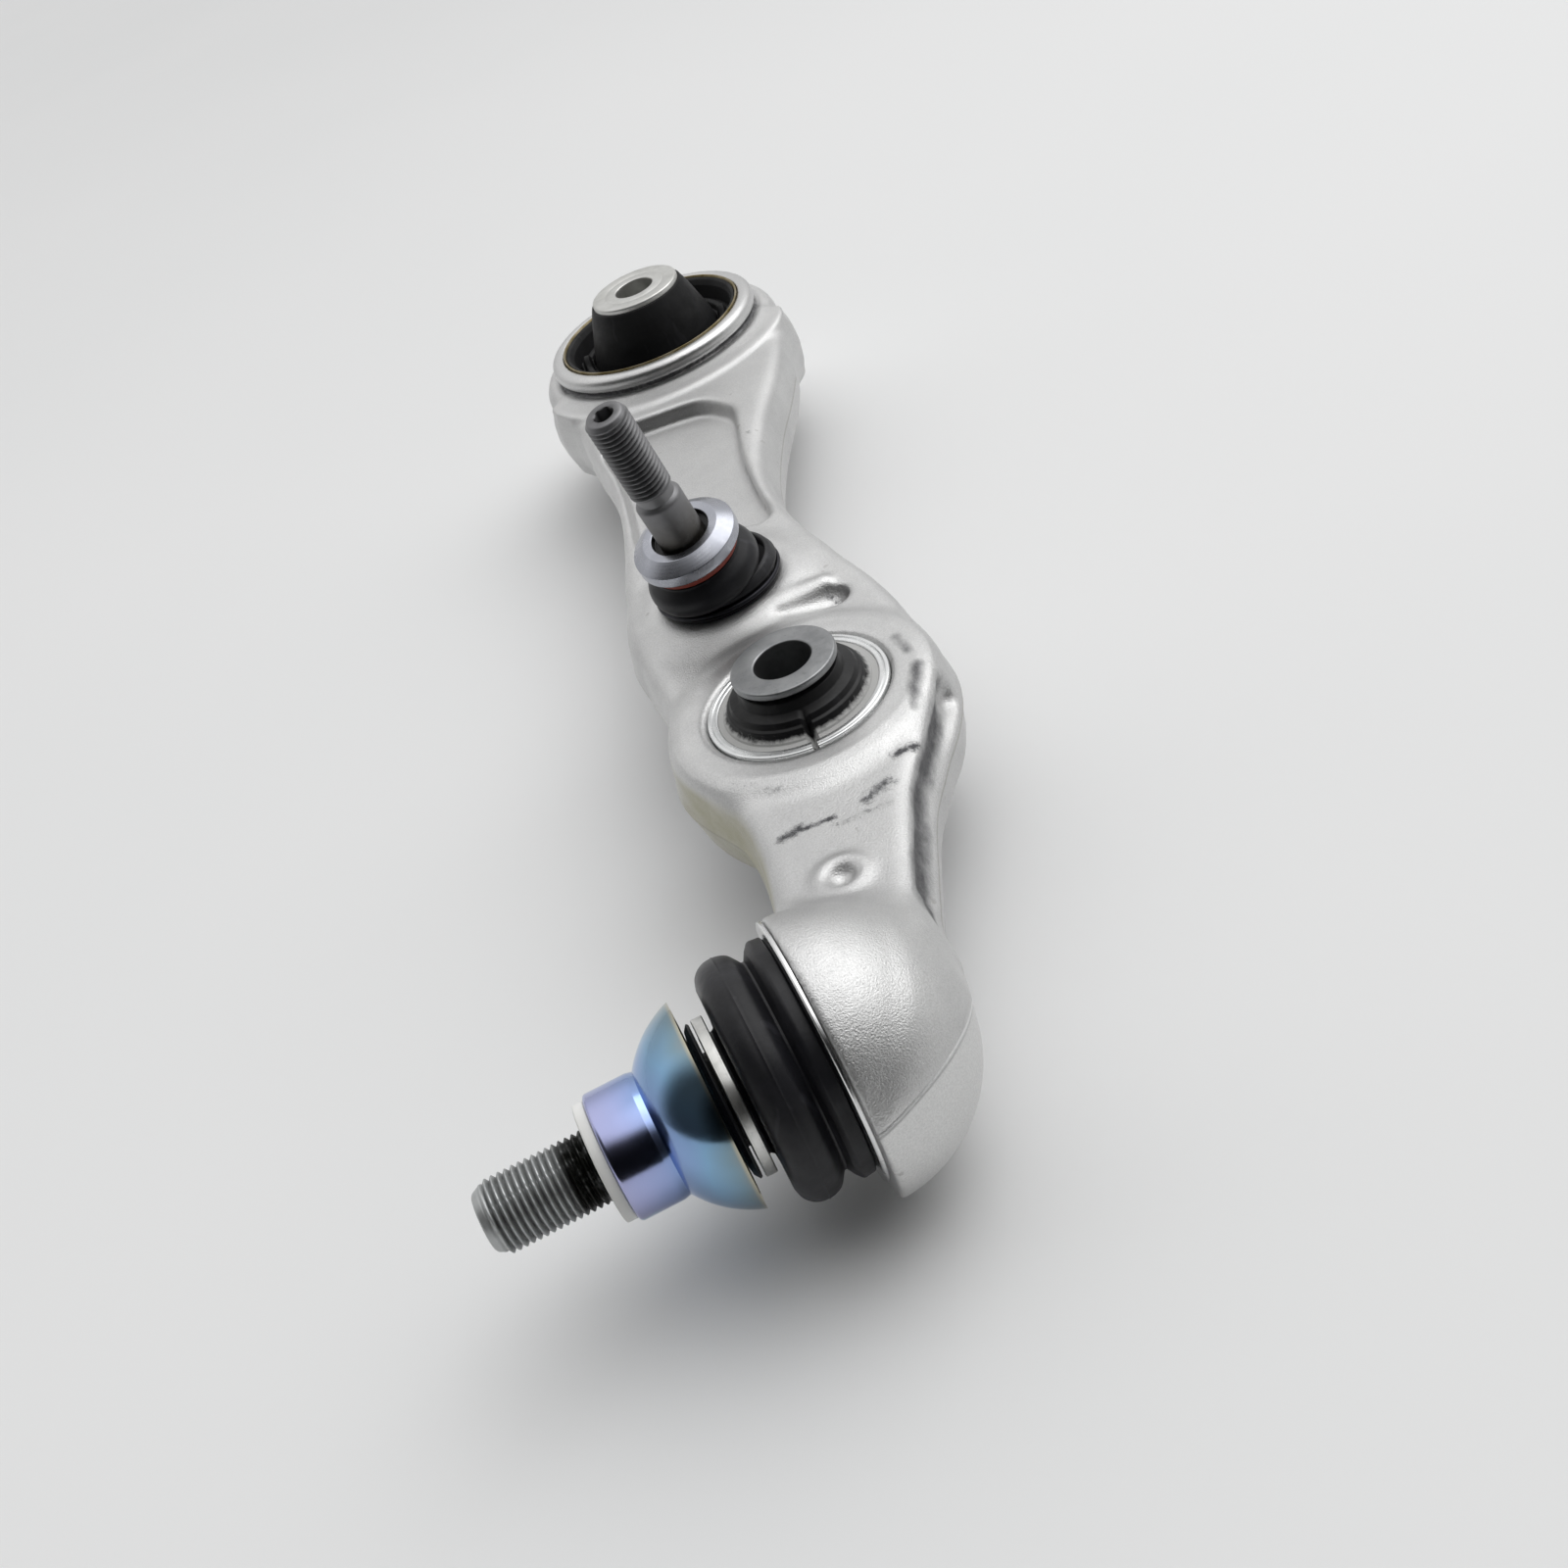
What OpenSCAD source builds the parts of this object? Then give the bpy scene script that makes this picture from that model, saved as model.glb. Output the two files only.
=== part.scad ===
// Front lower control arm of a car: a forged aluminium arm that carries an inner rubber bush,
// a strut bush, a stabiliser ball pin and a main ball joint.
// The origin is the centre of the inner bush. +Z runs along the axes of both bushes,
// -Y points along the arm to the main ball joint, and -X is the side that its stud stands out of.

/* [Arm layout] */
// Distance along the arm from the inner bush to the stabiliser joint
bush_to_stabiliser = 186.6; // [155:0.2:224]
// Distance along the arm from the stabiliser joint to the strut bush
stabiliser_to_strut = 65.6; // [54:0.2:79]
// Distance along the arm from the strut bush to the mouth of the main ball joint
strut_to_joint = 105.4; // [87:0.2:127]
// Sideways place of the stabiliser joint
stabiliser_x = -14.4; // [-18:0.2:-10]
// Sideways place of the strut bush
strut_x = -7.8; // [-12:0.2:-4]
// Sideways place of the main ball joint's mouth
joint_x = -33.4; // [-38:0.2:-30]
// Stabiliser ball centre above the mid-plane
stabiliser_z = 3; // [2:0.5:4]
// Main ball joint mouth centre above the mid-plane
joint_z = 1; // [0:0.5:2]
// Turn of the main stud from the -X direction, in degrees
stud_turn = 6.8; // [2:0.2:12]
// Rise of the main stud out of the mid-plane, in degrees
stud_rise = 2.3; // [0:0.1:5]

/* [Arm forging] */
// Half thickness of the machined strut boss
boss_half = 13.5; // [12:0.5:15]
// Wall of the strut boss at the parting line
boss_wall = 12.8; // [10:0.2:16]
// Wall of the stabiliser boss at the parting line
pin_boss_wall = 16.5; // [13:0.5:19]
// Wall of the inner eye at the parting line
eye_wall = 10.9; // [9:0.1:13]
// Half thickness of the web rims
rim_half = 12.5; // [11:0.5:13.5]
// Half thickness of the floor between the far pockets
floor_half = 5; // [4:0.5:8]
// Width of the pocket rims
rim_w = 8.5; // [7:0.5:11]
// Wall of the ball housing beside the ball
housing_wall = 16.5; // [14:0.1:19]
// How far the housing's centre sits below the middle of the mouth
housing_low = 2; // [0:0.1:2.4]
// How far the housing's centre sits beyond the middle of the mouth
housing_out = 1.2; // [0:0.1:2]

/* [Inner bush] */
// Outer diameter of the steel shell
bush_d = 67; // [64:0.5:68]
// Length of the steel shell
bush_len = 40; // [36:1:44]
// Wall of the steel shell
bush_wall = 1.5; // [1.2:0.1:2]
// Outer diameter of the inner sleeve
sleeve_d = 32; // [30:0.5:34]
// Bolt hole through the inner sleeve
sleeve_bore = 14; // [12:0.5:16]
// Length of the inner sleeve
sleeve_len = 68; // [62:1:72]

/* [Strut bush] */
// Outer diameter of the split shell
strut_shell_d = 48; // [46:0.5:50]
// Wall of the split shell
strut_shell_wall = 2.8; // [2:0.1:3]
// Width of the slit in the split shell
slit_w = 1.4; // [1:0.1:2]
// Bolt hole through the strut sleeve
strut_bore = 15; // [14:0.5:16]
// Body diameter of the strut sleeve
strut_sleeve_d = 23; // [22:0.5:25]
// Flange diameter of the strut sleeve
flange_d = 27.5; // [26:0.5:29]
// Flange thickness of the strut sleeve
flange_t = 2.4; // [2:0.1:3]
// Length of the strut sleeve
strut_sleeve_len = 50; // [46:1:54]

/* [Main ball joint] */
// Ball diameter
ball_d = 32; // [30:0.5:33]
// Depth of the ball centre behind the mouth
ball_depth = 9; // [8:0.5:10]
// Stud neck diameter
neck_d = 17; // [16:0.5:18]
// Stud thread diameter
thread_d = 16; // [14:1:16]
// Distance from the mouth to the stud end
stud_end = 76.5; // [70:0.5:82]
// Rim diameter of the cup on the cone sleeve
cup_d = 46.3; // [44:0.5:48]
// Collar diameter of the cone sleeve
collar_d = 28.1; // [26:0.1:30]
// Distance from the mouth to the cup rim
cup_start = 24.5; // [24:0.1:26]
// Distance from the mouth to the collar end
collar_end = 48.3; // [47:0.1:50]
// Step from the housing rim in to the boot's large fold
boot_step = 5.5; // [4:0.1:7]

/* [Stabiliser joint] */
// Small ball diameter
pin_ball_d = 22; // [21:0.5:23]
// Pin shank diameter
pin_shank_d = 13.2; // [13:0.1:14]
// Pin thread diameter
pin_thread_d = 12; // [10:1:12]
// Distance from the ball centre to the pin end
pin_end = 78; // [72:0.5:84]
// Collar disc diameter
disc_d = 30; // [28:0.5:32]
// Width across flats of the hexagon socket
socket_af = 5; // [4:0.5:6]
// Lean of the pin along the arm, in degrees
pin_lean_y = 9.4; // [4:0.2:12]
// Lean of the pin sideways, in degrees
pin_lean_x = -6.65; // [-10:0.05:-2]

/* [Fits] */
// Radial clearance of the running fits
running = 0.05; // [0.02:0.01:0.08]
// Gap that soft parts keep to moving neighbours
soft_gap = 0.4; // [0.3:0.1:0.6]
// Hairline left between pieces that are bonded or pressed together
bond = 0.02; // [0.01:0.01:0.04]

/* [Hidden] */
$fn = 96;

eps = 0.01;
ball_r = ball_d / 2;
pin_ball_r = pin_ball_d / 2;
bush_r = bush_d / 2;
strut_shell_r = strut_shell_d / 2;
eye_r = bush_r + eye_wall;
boss_r = strut_shell_r + boss_wall;
stabiliser_y = -bush_to_stabiliser;
strut_y = stabiliser_y - stabiliser_to_strut;
joint_y = strut_y - strut_to_joint;
housing_r = ball_r + housing_wall;
boot_r = housing_r - boot_step;
seat_r = ball_r + 3;                  // main ball seat
seat_front = -1.5;                    // front of the seat, from the mouth
ring_r = seat_r + 4;                  // closing ring
ring_hole_r = ball_r - 1.4;
ring_front = 0.4;
band_t = 1;                           // boot band width along the stud
foot_step = 6.9;                      // how far the boot foot stays inside the housing
pin_seat_r = pin_ball_r + 3.5;        // small ball seat
pin_boss_r = pin_seat_r + pin_boss_wall;
pin_seat_top = stabiliser_z + 5.2;    // top of the small seat above the mid-plane
pin_boss_top = 14;
disc_cap_t = 2.5;                     // closing disc below the small ball
pin_boss_bottom = -14.5;
eye_rim_half = bush_len / 2 - 0.4;
slit_at = -93;                        // direction of the slit, in degrees
land_d = 21;                          // stud land under the boot neck
shoulder_at = 25;                     // where the land ends and the cone sleeve starts
cone_seat_d = 17;
washer_t = 2.6;
thread_start = collar_end + washer_t + 0.4;
thread_relief = 0.6;
stud_point = 2.9;                     // length of the stud's pointed end
shank_end = 49;                       // end of the pin's plain shank, from its ball centre
pin_thread_start = 52;
pin_point = 1.4;
disc_start = 29;                      // underside of the collar disc, from the ball centre
disc_top = 35.2;
clip_r = pin_seat_r + 4;              // centre line of the clip round the pin boot
clip_z = pin_boss_top + 2.2;
scoop_r = 5;
scoop_len = 11;

// ---- arm forging ----------------------------------------------------------

// Centres that the web runs between.
eye_at = [0, 0];
pin_at = [stabiliser_x, stabiliser_y];
strut_at = [strut_x, strut_y];
mouth_at = [joint_x, joint_y];

// A station of the web: [y, left x, right x, half thickness], a share of the way from a to b.
function station(a, b, share, left, right, half) =
    let (c = a + (b - a) * share) [c[1], c[0] - left, c[0] + right, half];

far_stations = [
    station(eye_at, pin_at, 0.06, eye_r - 4, eye_r - 2.6, rim_half - 1.5),
    station(eye_at, pin_at, 0.21, eye_r - 8.5, eye_r - 1.4, rim_half),
    station(eye_at, pin_at, 0.34, eye_r - 12, eye_r - 6.5, rim_half),
    station(eye_at, pin_at, 0.48, 28, 30, rim_half),
    station(eye_at, pin_at, 0.62, 27.1, 24.4, rim_half),
    station(eye_at, pin_at, 0.73, 28, 23, rim_half),
    station(eye_at, pin_at, 0.85, pin_boss_r - 1.2, 26.2, rim_half)
];
middle_stations = [
    station(pin_at, strut_at, 0, pin_boss_r - 0.6, pin_boss_r + 3.4, rim_half - 0.5),
    station(pin_at, strut_at, 0.3, pin_boss_r + 0.6, boss_r + 0.6, rim_half - 1.5),
    station(pin_at, strut_at, 0.6, boss_r - 5.7, boss_r + 1.6, rim_half - 1.5)
];
neck_stations = [
    station(strut_at, mouth_at, 0, boss_r - 2.1, boss_r - 0.5, rim_half - 1),
    station(strut_at, mouth_at, 0.19, boss_r - 11.9, boss_r - 0.1, rim_half - 0.5),
    station(strut_at, mouth_at, 0.34, boss_r - 19.8, boss_r - 3.8, rim_half - 0.5),
    station(strut_at, mouth_at, 0.47, 12.7, 29.3, rim_half - 0.5),
    station(strut_at, mouth_at, 0.64, 9.3, 28.2, rim_half),
    station(strut_at, mouth_at, 0.81, 6.5, 27.5, rim_half + 0.5),
    station(strut_at, mouth_at, 0.94, 1.1, 26, rim_half + 0.5)
];
stations = concat(far_stations, middle_stations, neck_stations);

// One cross-section of the web, with drafted flanks that meet on the parting line.
function section(s) =
    let (y = s[0], l = s[1], r = s[2], h = s[3])
    let (upper = [[r, 0], [r - 0.8, 3], [r - 2.4, h - 3.5], [r - 5.5, h],
                  [l + 5.5, h], [l + 2.4, h - 3.5], [l + 0.8, 3], [l, 0]])
    let (lower = [for (i = [6:-1:1]) [upper[i][0], -upper[i][1]]])
    [for (p = concat(upper, lower)) [p[0], y, p[1]]];

module web_loft() {
    n = len(section(stations[0]));
    m = len(stations);
    pts = [for (s = stations) each section(s)];
    sides = [for (j = [0:m - 2], i = [0:n - 1])
        let (a = j * n + i, b = j * n + (i + 1) % n)
        each [[b, a, b + n], [b + n, a, a + n]]];
    near_end = [[for (i = [0:n - 1]) i]];
    far_end = [[for (i = [n - 1:-1:0]) (m - 1) * n + i]];
    polyhedron(pts, concat(sides, near_end, far_end), convexity = 6);
}

// A turned boss whose outline is mirrored about the parting line.
module turned(half_outline) {
    lower = [for (i = [len(half_outline) - 1:-1:0]) [half_outline[i][0], -half_outline[i][1]]];
    rotate_extrude() polygon(concat(half_outline, lower));
}

module eye_body() {
    groove_z = eye_rim_half - 6;
    turned([
        [0, eye_rim_half], [bush_r + 3.4, eye_rim_half], [bush_r + 4.8, eye_rim_half - 1.4],
        [bush_r + 5.1, groove_z + 1], [bush_r + 4.6, groove_z], [bush_r + 6.5, groove_z - 0.6],
        [bush_r + 8.6, groove_z - 1.8], [eye_r - 0.6, groove_z - 5], [eye_r, 3], [eye_r, 0]
    ]);
}

module strut_boss() {
    turned([
        [0, boss_half], [boss_r - 6.2, boss_half], [boss_r - 3.8, boss_half - 1.2],
        [boss_r - 2.2, boss_half - 4], [boss_r - 0.6, 3.5], [boss_r, 0]
    ]);
}

module pin_boss() {
    rotate_extrude() polygon([
        [0, pin_boss_top], [pin_boss_r - 9.5, pin_boss_top], [pin_boss_r - 6.5, pin_boss_top - 1.2],
        [pin_boss_r - 3.5, pin_boss_top - 4.5], [pin_boss_r - 0.8, 3.5], [pin_boss_r, 0],
        [pin_boss_r - 0.8, -3.5], [pin_boss_r - 3.5, -10], [pin_boss_r - 7, pin_boss_bottom + 1],
        [pin_boss_r - 10, pin_boss_bottom], [0, pin_boss_bottom]
    ]);
}

// The ball housing: a dome cut off by the plane of the mouth, with its centre a little low.
module housing_dome() intersection() {
    translate([-housing_low, -housing_out, 0]) sphere(r = housing_r, $fn = 128);
    translate([0, 0, -housing_r]) cylinder(h = housing_r, r = 2 * housing_r);
}

// Pocket between the rims of the far web, on the side given by up (1 or -1).
module far_pocket(up) {
    right = [for (i = [2:5]) [stations[i][2] - rim_w, stations[i][0]]];
    left = [for (i = [5:-1:2]) [stations[i][1] + rim_w, stations[i][0]]];
    near_end = [[-12, -eye_r - 9.6], [10, -eye_r - 11.6]];
    far_end = [[stabiliser_x + 6, stabiliser_y + 34], [stabiliser_x - 13, stabiliser_y + 36]];
    h = rim_half + 1 - floor_half;
    translate([0, 0, up > 0 ? floor_half : -floor_half - h])
        linear_extrude(h) polygon(concat(near_end, right, far_end, left));
}

// Shallow thumb-shaped recess between the two middle bosses.
module scoop(up)
    translate([stabiliser_x + 15, stabiliser_y - 23.6, up * (rim_half + 0.8)]) rotate([0, 0, -10]) {
    sphere(r = scoop_r);
    translate([scoop_len, 0, 0]) sphere(r = scoop_r);
    rotate([0, 90, 0]) cylinder(h = scoop_len, r = scoop_r);
}

module arm_forging() color("gainsboro") difference() {
    union() {
        web_loft();
        eye_body();
        at_strut() strut_boss();
        translate([stabiliser_x, stabiliser_y, 0]) pin_boss();
        at_joint() housing_dome();
        at_dimple() cylinder(h = rim_half + 1.2, r1 = 7.5, r2 = 6.2);
    }
    cylinder(h = bush_len + 2, r = bush_r, center = true);
    at_strut() cylinder(h = 2 * boss_half + 2, r = strut_shell_r, center = true);
    at_strut() for (s = [0, 180]) rotate([s, 0, 0])
        translate([0, 0, boss_half - 0.9])
            cylinder(h = 1, r1 = strut_shell_r, r2 = strut_shell_r + 1.1);
    at_pin_boss() pin_cavity();
    at_joint() joint_cavity();
    for (up = [1, -1]) far_pocket(up);
    for (up = [1, -1]) scoop(up);
    at_dimple() translate([0, 0, rim_half + 2.6]) sphere(r = 3.6);
}

module pin_cavity() {
    translate([0, 0, pin_boss_bottom - 1])
        cylinder(h = pin_seat_top - pin_boss_bottom + 1, r = pin_seat_r);
    translate([0, 0, pin_seat_top - eps])
        cylinder(h = pin_boss_top - pin_seat_top + 1, r1 = pin_ball_r - 0.8, r2 = pin_ball_r + 2.5);
}

module joint_cavity() {
    translate([0, 0, -ball_depth]) sphere(r = seat_r, $fn = 128);
    translate([0, 0, -ball_depth]) cylinder(h = ball_depth + 1, r = seat_r);
    translate([0, 0, seat_front]) cylinder(h = 3, r = ring_r);
}

// ---- places ---------------------------------------------------------------

module at_strut() translate([strut_x, strut_y, 0]) children();

module at_dimple() translate([joint_x + 17.8, joint_y + 34.6, 0]) children();

module at_pin_boss() translate([stabiliser_x, stabiliser_y, 0]) children();

// Local origin at the small ball's centre, local +Z along the leaning pin.
module at_pin()
    translate([stabiliser_x, stabiliser_y, stabiliser_z])
        rotate([pin_lean_y, pin_lean_x, 0]) children();

// Local origin in the middle of the mouth, local +Z out along the main stud.
module at_joint()
    translate([joint_x, joint_y, joint_z])
        rotate([0, 0, stud_turn]) rotate([0, stud_rise - 90, 0]) children();

// A ring turned from an outline of [radius, height] points.
module ring(outline) rotate_extrude() polygon(outline);

// ---- inner bush -----------------------------------------------------------

module bush_shell() color("darkkhaki") difference() {
    cylinder(h = bush_len, r = bush_r, center = true);
    cylinder(h = bush_len + 2, r = bush_r - bush_wall, center = true);
}

module bush_rubber() color([0.09, 0.09, 0.1]) {
    inner_r = sleeve_d / 2 + running;
    outer_r = bush_r - bush_wall - bond;
    top = sleeve_len / 2 - 3.4;
    turned([
        [inner_r, top], [inner_r + 0.8, top], [inner_r + 1.6, top - 3],
        [inner_r + 6.5, bush_len / 2 - 4], [inner_r + 7.5, bush_len / 2 - 7],
        [outer_r - 4, bush_len / 2 - 8.5], [outer_r - 2.2, bush_len / 2 - 6],
        [outer_r - 1.4, bush_len / 2 - 1.5], [outer_r, bush_len / 2 - 0.8]
    ]);
}

module bush_inner_sleeve() color("lightgray") turned([
    [sleeve_bore / 2, sleeve_len / 2], [sleeve_d / 2 - 0.8, sleeve_len / 2],
    [sleeve_d / 2, sleeve_len / 2 - 0.8]
]);

// ---- strut bush -----------------------------------------------------------

module strut_shell() color("silver") at_strut() difference() {
    shell_half = boss_half + 0.4;
    cylinder(h = 2 * shell_half, r = strut_shell_r, center = true);
    cylinder(h = 2 * shell_half + 2, r = strut_shell_r - strut_shell_wall, center = true);
    rotate([0, 0, slit_at]) translate([strut_shell_r - 4, -slit_w / 2, -shell_half - 1])
        cube([8, slit_w, 2 * shell_half + 2]);
}

module strut_rubber() color([0.08, 0.08, 0.09]) at_strut() {
    inner_r = strut_sleeve_d / 2 + running;
    outer_r = strut_shell_r - strut_shell_wall - bond;
    flange_under = strut_sleeve_len / 2 - flange_t;
    turned([
        [inner_r, flange_under - 1], [inner_r + 1.6, flange_under - 1.2],
        [inner_r + 2.4, flange_under - 4], [inner_r + 5.5, boss_half + 3],
        [inner_r + 6.6, boss_half + 2.6], [inner_r + 7.2, boss_half + 1],
        [outer_r - 1.4, boss_half + 0.6], [outer_r, boss_half - 0.4]
    ]);
}

module strut_sleeve() color("gray") at_strut() difference() {
    half = strut_sleeve_len / 2;
    union() {
        cylinder(h = strut_sleeve_len, r = strut_sleeve_d / 2, center = true);
        translate([0, 0, half - flange_t]) cylinder(h = flange_t - 0.5, r = flange_d / 2);
        translate([0, 0, half - 0.5])
            cylinder(h = 0.5, r1 = flange_d / 2, r2 = flange_d / 2 - 0.5);
    }
    cylinder(h = strut_sleeve_len + 2, r = strut_bore / 2, center = true);
}

// ---- main ball joint ------------------------------------------------------

module joint_ball_seat() color("ivory") at_joint() difference() {
    union() {
        translate([0, 0, -ball_depth]) intersection() {
            sphere(r = seat_r, $fn = 128);
            translate([0, 0, -seat_r]) cylinder(h = seat_r, r = seat_r + 1);
        }
        translate([0, 0, -ball_depth]) cylinder(h = ball_depth + seat_front, r = seat_r);
    }
    translate([0, 0, -ball_depth]) sphere(r = ball_r + running, $fn = 128);
}

module joint_closing_ring() color("silver") at_joint() translate([0, 0, seat_front]) difference() {
    cylinder(h = ring_front - seat_front, r = ring_r);
    translate([0, 0, -1]) cylinder(h = 5, r = ring_hole_r);
}

module joint_boot_band() color("whitesmoke") at_joint() {
    inner_r = housing_r - foot_step + 0.3;
    outer_r = housing_r - norm([housing_low, housing_out]) - 0.7;
    ring([[inner_r, 0], [outer_r, 0], [outer_r, band_t - 0.3], [outer_r - 0.3, band_t],
          [inner_r, band_t]]);
}

// The bellows: a foot under the band, a lip, the large fold and the neck on the stud land.
module joint_boot() color([0.1, 0.1, 0.11]) at_joint() {
    foot_r = housing_r - foot_step;
    lip_r = foot_r + 0.9;
    neck_r = land_d / 2 + soft_gap;
    ring([
        [ring_r - 3, ring_front + 0.1], [foot_r, ring_front + 0.1], [foot_r, band_t + 0.4],
        [lip_r, band_t + 0.9], [lip_r, 4.4], [lip_r - 1.1, 5.6], [boot_r - 3.6, 6.4],
        [boot_r - 3.6, 7.2], [boot_r - 1, 8.6], [boot_r, 10.6], [boot_r, 14.2],
        [boot_r - 1.2, 16.2], [boot_r - 3.4, 17.6], [neck_r + 6, 18], [neck_r + 3.2, 18.3],
        [neck_r + 2.8, 18.9], [neck_r + 2.8, 22], [neck_r, 22], [neck_r, 15.6],
        [boot_r - 5, 15.4], [boot_r - 2.4, 13.6], [boot_r - 2.4, 11], [boot_r - 5.8, 8],
        [boot_r - 5.8, 6.4], [foot_r - 3, 3.6], [ring_r - 3, 2]
    ]);
}

module joint_snap_ring() color("lightgray") at_joint() {
    r = land_d / 2 + soft_gap + 2.8 + 0.3;
    ring([[r, 19.3], [r + 3.1, 19.3], [r + 3.4, 19.6], [r + 3.4, 21.6], [r + 3.1, 21.9], [r, 21.9]]);
}

// A soft lip between the snap ring and the cup that keeps water off the stud land.
module joint_lip_seal() color([0.07, 0.07, 0.08]) at_joint() {
    r = land_d / 2 + 0.1;
    ring([[r, 22.7], [r + 6.4, 22.5], [r + 6.8, 23], [r + 5.4, 24], [r + 2, 24.6], [r, 24.6]]);
}

module ball_stud() color("darkgray") at_joint() difference() {
    union() {
        translate([0, 0, -ball_depth]) sphere(r = ball_r, $fn = 128);
        translate([0, 0, -ball_depth]) cylinder(h = ball_depth + 14, r = neck_d / 2);
        translate([0, 0, 11]) cylinder(h = 3, r1 = neck_d / 2, r2 = land_d / 2);
        translate([0, 0, 14]) cylinder(h = shoulder_at - 14, r = land_d / 2);
        translate([0, 0, shoulder_at - eps])
            cylinder(h = collar_end - 2 - shoulder_at, r = cone_seat_d / 2);
        translate([0, 0, collar_end - 3])
            cylinder(h = thread_start - collar_end + 3 + eps, r = thread_d / 2 - thread_relief);
        translate([0, 0, thread_start])
            cylinder(h = stud_end - stud_point - thread_start, r = thread_d / 2);
        translate([0, 0, stud_end - stud_point - eps])
            cylinder(h = stud_point + eps, r1 = thread_d / 2, r2 = thread_d / 2 - 1.5);
    }
    translate([0, 0, -ball_depth - ball_r - 1]) cylinder(h = 2.2, r = 5.5);
    translate([0, 0, stud_end - 2]) cylinder(h = 3, r1 = 0.6, r2 = 2.4);
}

// A bowl whose outside is a sphere round a point on the stud, then a straight collar.
module cone_sleeve() color([0.55, 0.6, 0.8]) at_joint() {
    rim = cup_d / 2;
    waist = collar_d / 2 - 0.35;
    cup_end = cup_start + 12.5;
    centre = (cup_end ^ 2 + waist ^ 2 - cup_start ^ 2 - rim ^ 2) / (2 * (cup_end - cup_start));
    cup_r = norm([rim, cup_start - centre]);
    inner_r = cup_r - 2.4;
    floor_at = cup_start + 4;
    from = atan2(rim, cup_start - centre);
    to = atan2(waist, cup_end - centre);
    inner_from = acos((floor_at - centre) / inner_r);
    inner_to = acos((cup_start - centre) / inner_r);
    outside = [for (i = [0:6]) let (a = from + (to - from) * i / 6)
        [cup_r * sin(a), centre + cup_r * cos(a)]];
    inside = [for (i = [0:3]) let (a = inner_from + (inner_to - inner_from) * i / 3)
        [inner_r * sin(a), centre + inner_r * cos(a)]];
    bore_r = cone_seat_d / 2 + bond;
    hub = [[bore_r, shoulder_at + 0.1], [land_d / 2 + 0.7, shoulder_at + 0.1],
           [land_d / 2 + 0.7, floor_at]];
    collar = [[collar_d / 2, cup_end + 1.5], [collar_d / 2, collar_end - 0.8],
              [collar_d / 2 - 0.8, collar_end], [bore_r, collar_end]];
    ring(concat(hub, inside, outside, collar));
}

module thread_washer() color("white") at_joint() translate([0, 0, collar_end]) difference() {
    cylinder(h = washer_t, r = 13);
    translate([0, 0, -1]) cylinder(h = washer_t + 2, r = thread_d / 2 + bond);
}

// ---- stabiliser joint -----------------------------------------------------

module pin_ball_seat() color("ivory") at_pin_boss() difference() {
    translate([0, 0, pin_boss_bottom + disc_cap_t])
        cylinder(h = pin_seat_top - pin_boss_bottom - disc_cap_t, r = pin_seat_r);
    translate([0, 0, stabiliser_z]) sphere(r = pin_ball_r + running, $fn = 128);
}

module pin_closing_disc() color("silver") at_pin_boss() translate([0, 0, pin_boss_bottom])
    cylinder(h = disc_cap_t, r = pin_seat_r);

module pin_boot_clip() color("dimgray") at_pin_boss() translate([0, 0, clip_z])
    rotate_extrude() translate([clip_r, 0]) circle(d = 1.4, $fn = 24);

// Bellows with a foot on the boss, a lower fold and an upper fold that follows the leaning pin.
module pin_boot() color([0.1, 0.1, 0.11]) difference() {
    union() {
        at_pin_boss() ring([
            [13.6, pin_boss_top + 0.1], [clip_r - 0.2, pin_boss_top + 0.1],
            [clip_r - 0.3, clip_z - 1.2], [clip_r - 1.1, clip_z - 1], [clip_r - 1.1, clip_z + 1],
            [clip_r + 0.1, clip_z + 1.5], [clip_r + 0.3, clip_z + 2.4],
            [clip_r - 0.9, clip_z + 4.4], [13, clip_z + 5.6], [10.5, clip_z + 6.2]
        ]);
        at_pin() ring([
            [8.5, 17.4], [14.8, 17.6], [16.2, 19.4], [16, 22.4], [13.6, 25],
            [13, 26.3], [8.5, 26.3]
        ]);
    }
    at_pin() translate([0, 0, -5]) cylinder(h = 40, r = pin_shank_d / 2 + soft_gap);
    at_pin_boss() translate([0, 0, pin_boss_top]) cylinder(h = 5, r1 = 15, r2 = 11);
}

module pin_seal_ring() color("firebrick") at_pin() {
    r = pin_shank_d / 2 + 0.1;
    ring([[r, 26.6], [12.9, 26.6], [13.2, 26.9], [13.2, 28.2], [12.9, 28.5], [r, 28.5]]);
}

module ball_pin() color("dimgray") at_pin() difference() {
    union() {
        sphere(r = pin_ball_r, $fn = 128);
        cylinder(h = shank_end, r = pin_shank_d / 2);
        translate([0, 0, shank_end - eps])
            cylinder(h = pin_thread_start - shank_end + 2 * eps, r = pin_thread_d / 2 - 0.8);
        translate([0, 0, pin_thread_start])
            cylinder(h = pin_end - pin_point - pin_thread_start, r = pin_thread_d / 2);
        translate([0, 0, pin_end - pin_point - eps])
            cylinder(h = pin_point + eps, r1 = pin_thread_d / 2, r2 = pin_thread_d / 2 - 1.2);
    }
    translate([0, 0, pin_end - 6]) cylinder(h = 7, d = socket_af / cos(30), $fn = 6);
}

module pin_collar_disc() color("lightsteelblue") at_pin() {
    r = pin_shank_d / 2 + bond;
    recess_r = r + 1.7;
    ring([
        [r, disc_start], [disc_d / 2 - 0.6, disc_start], [disc_d / 2, disc_start + 0.6],
        [disc_d / 2, disc_top - 2.6], [disc_d / 2 - 4, disc_top], [recess_r, disc_top],
        [recess_r, disc_top - 1.8], [r, disc_top - 1.8]
    ]);
}

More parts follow.
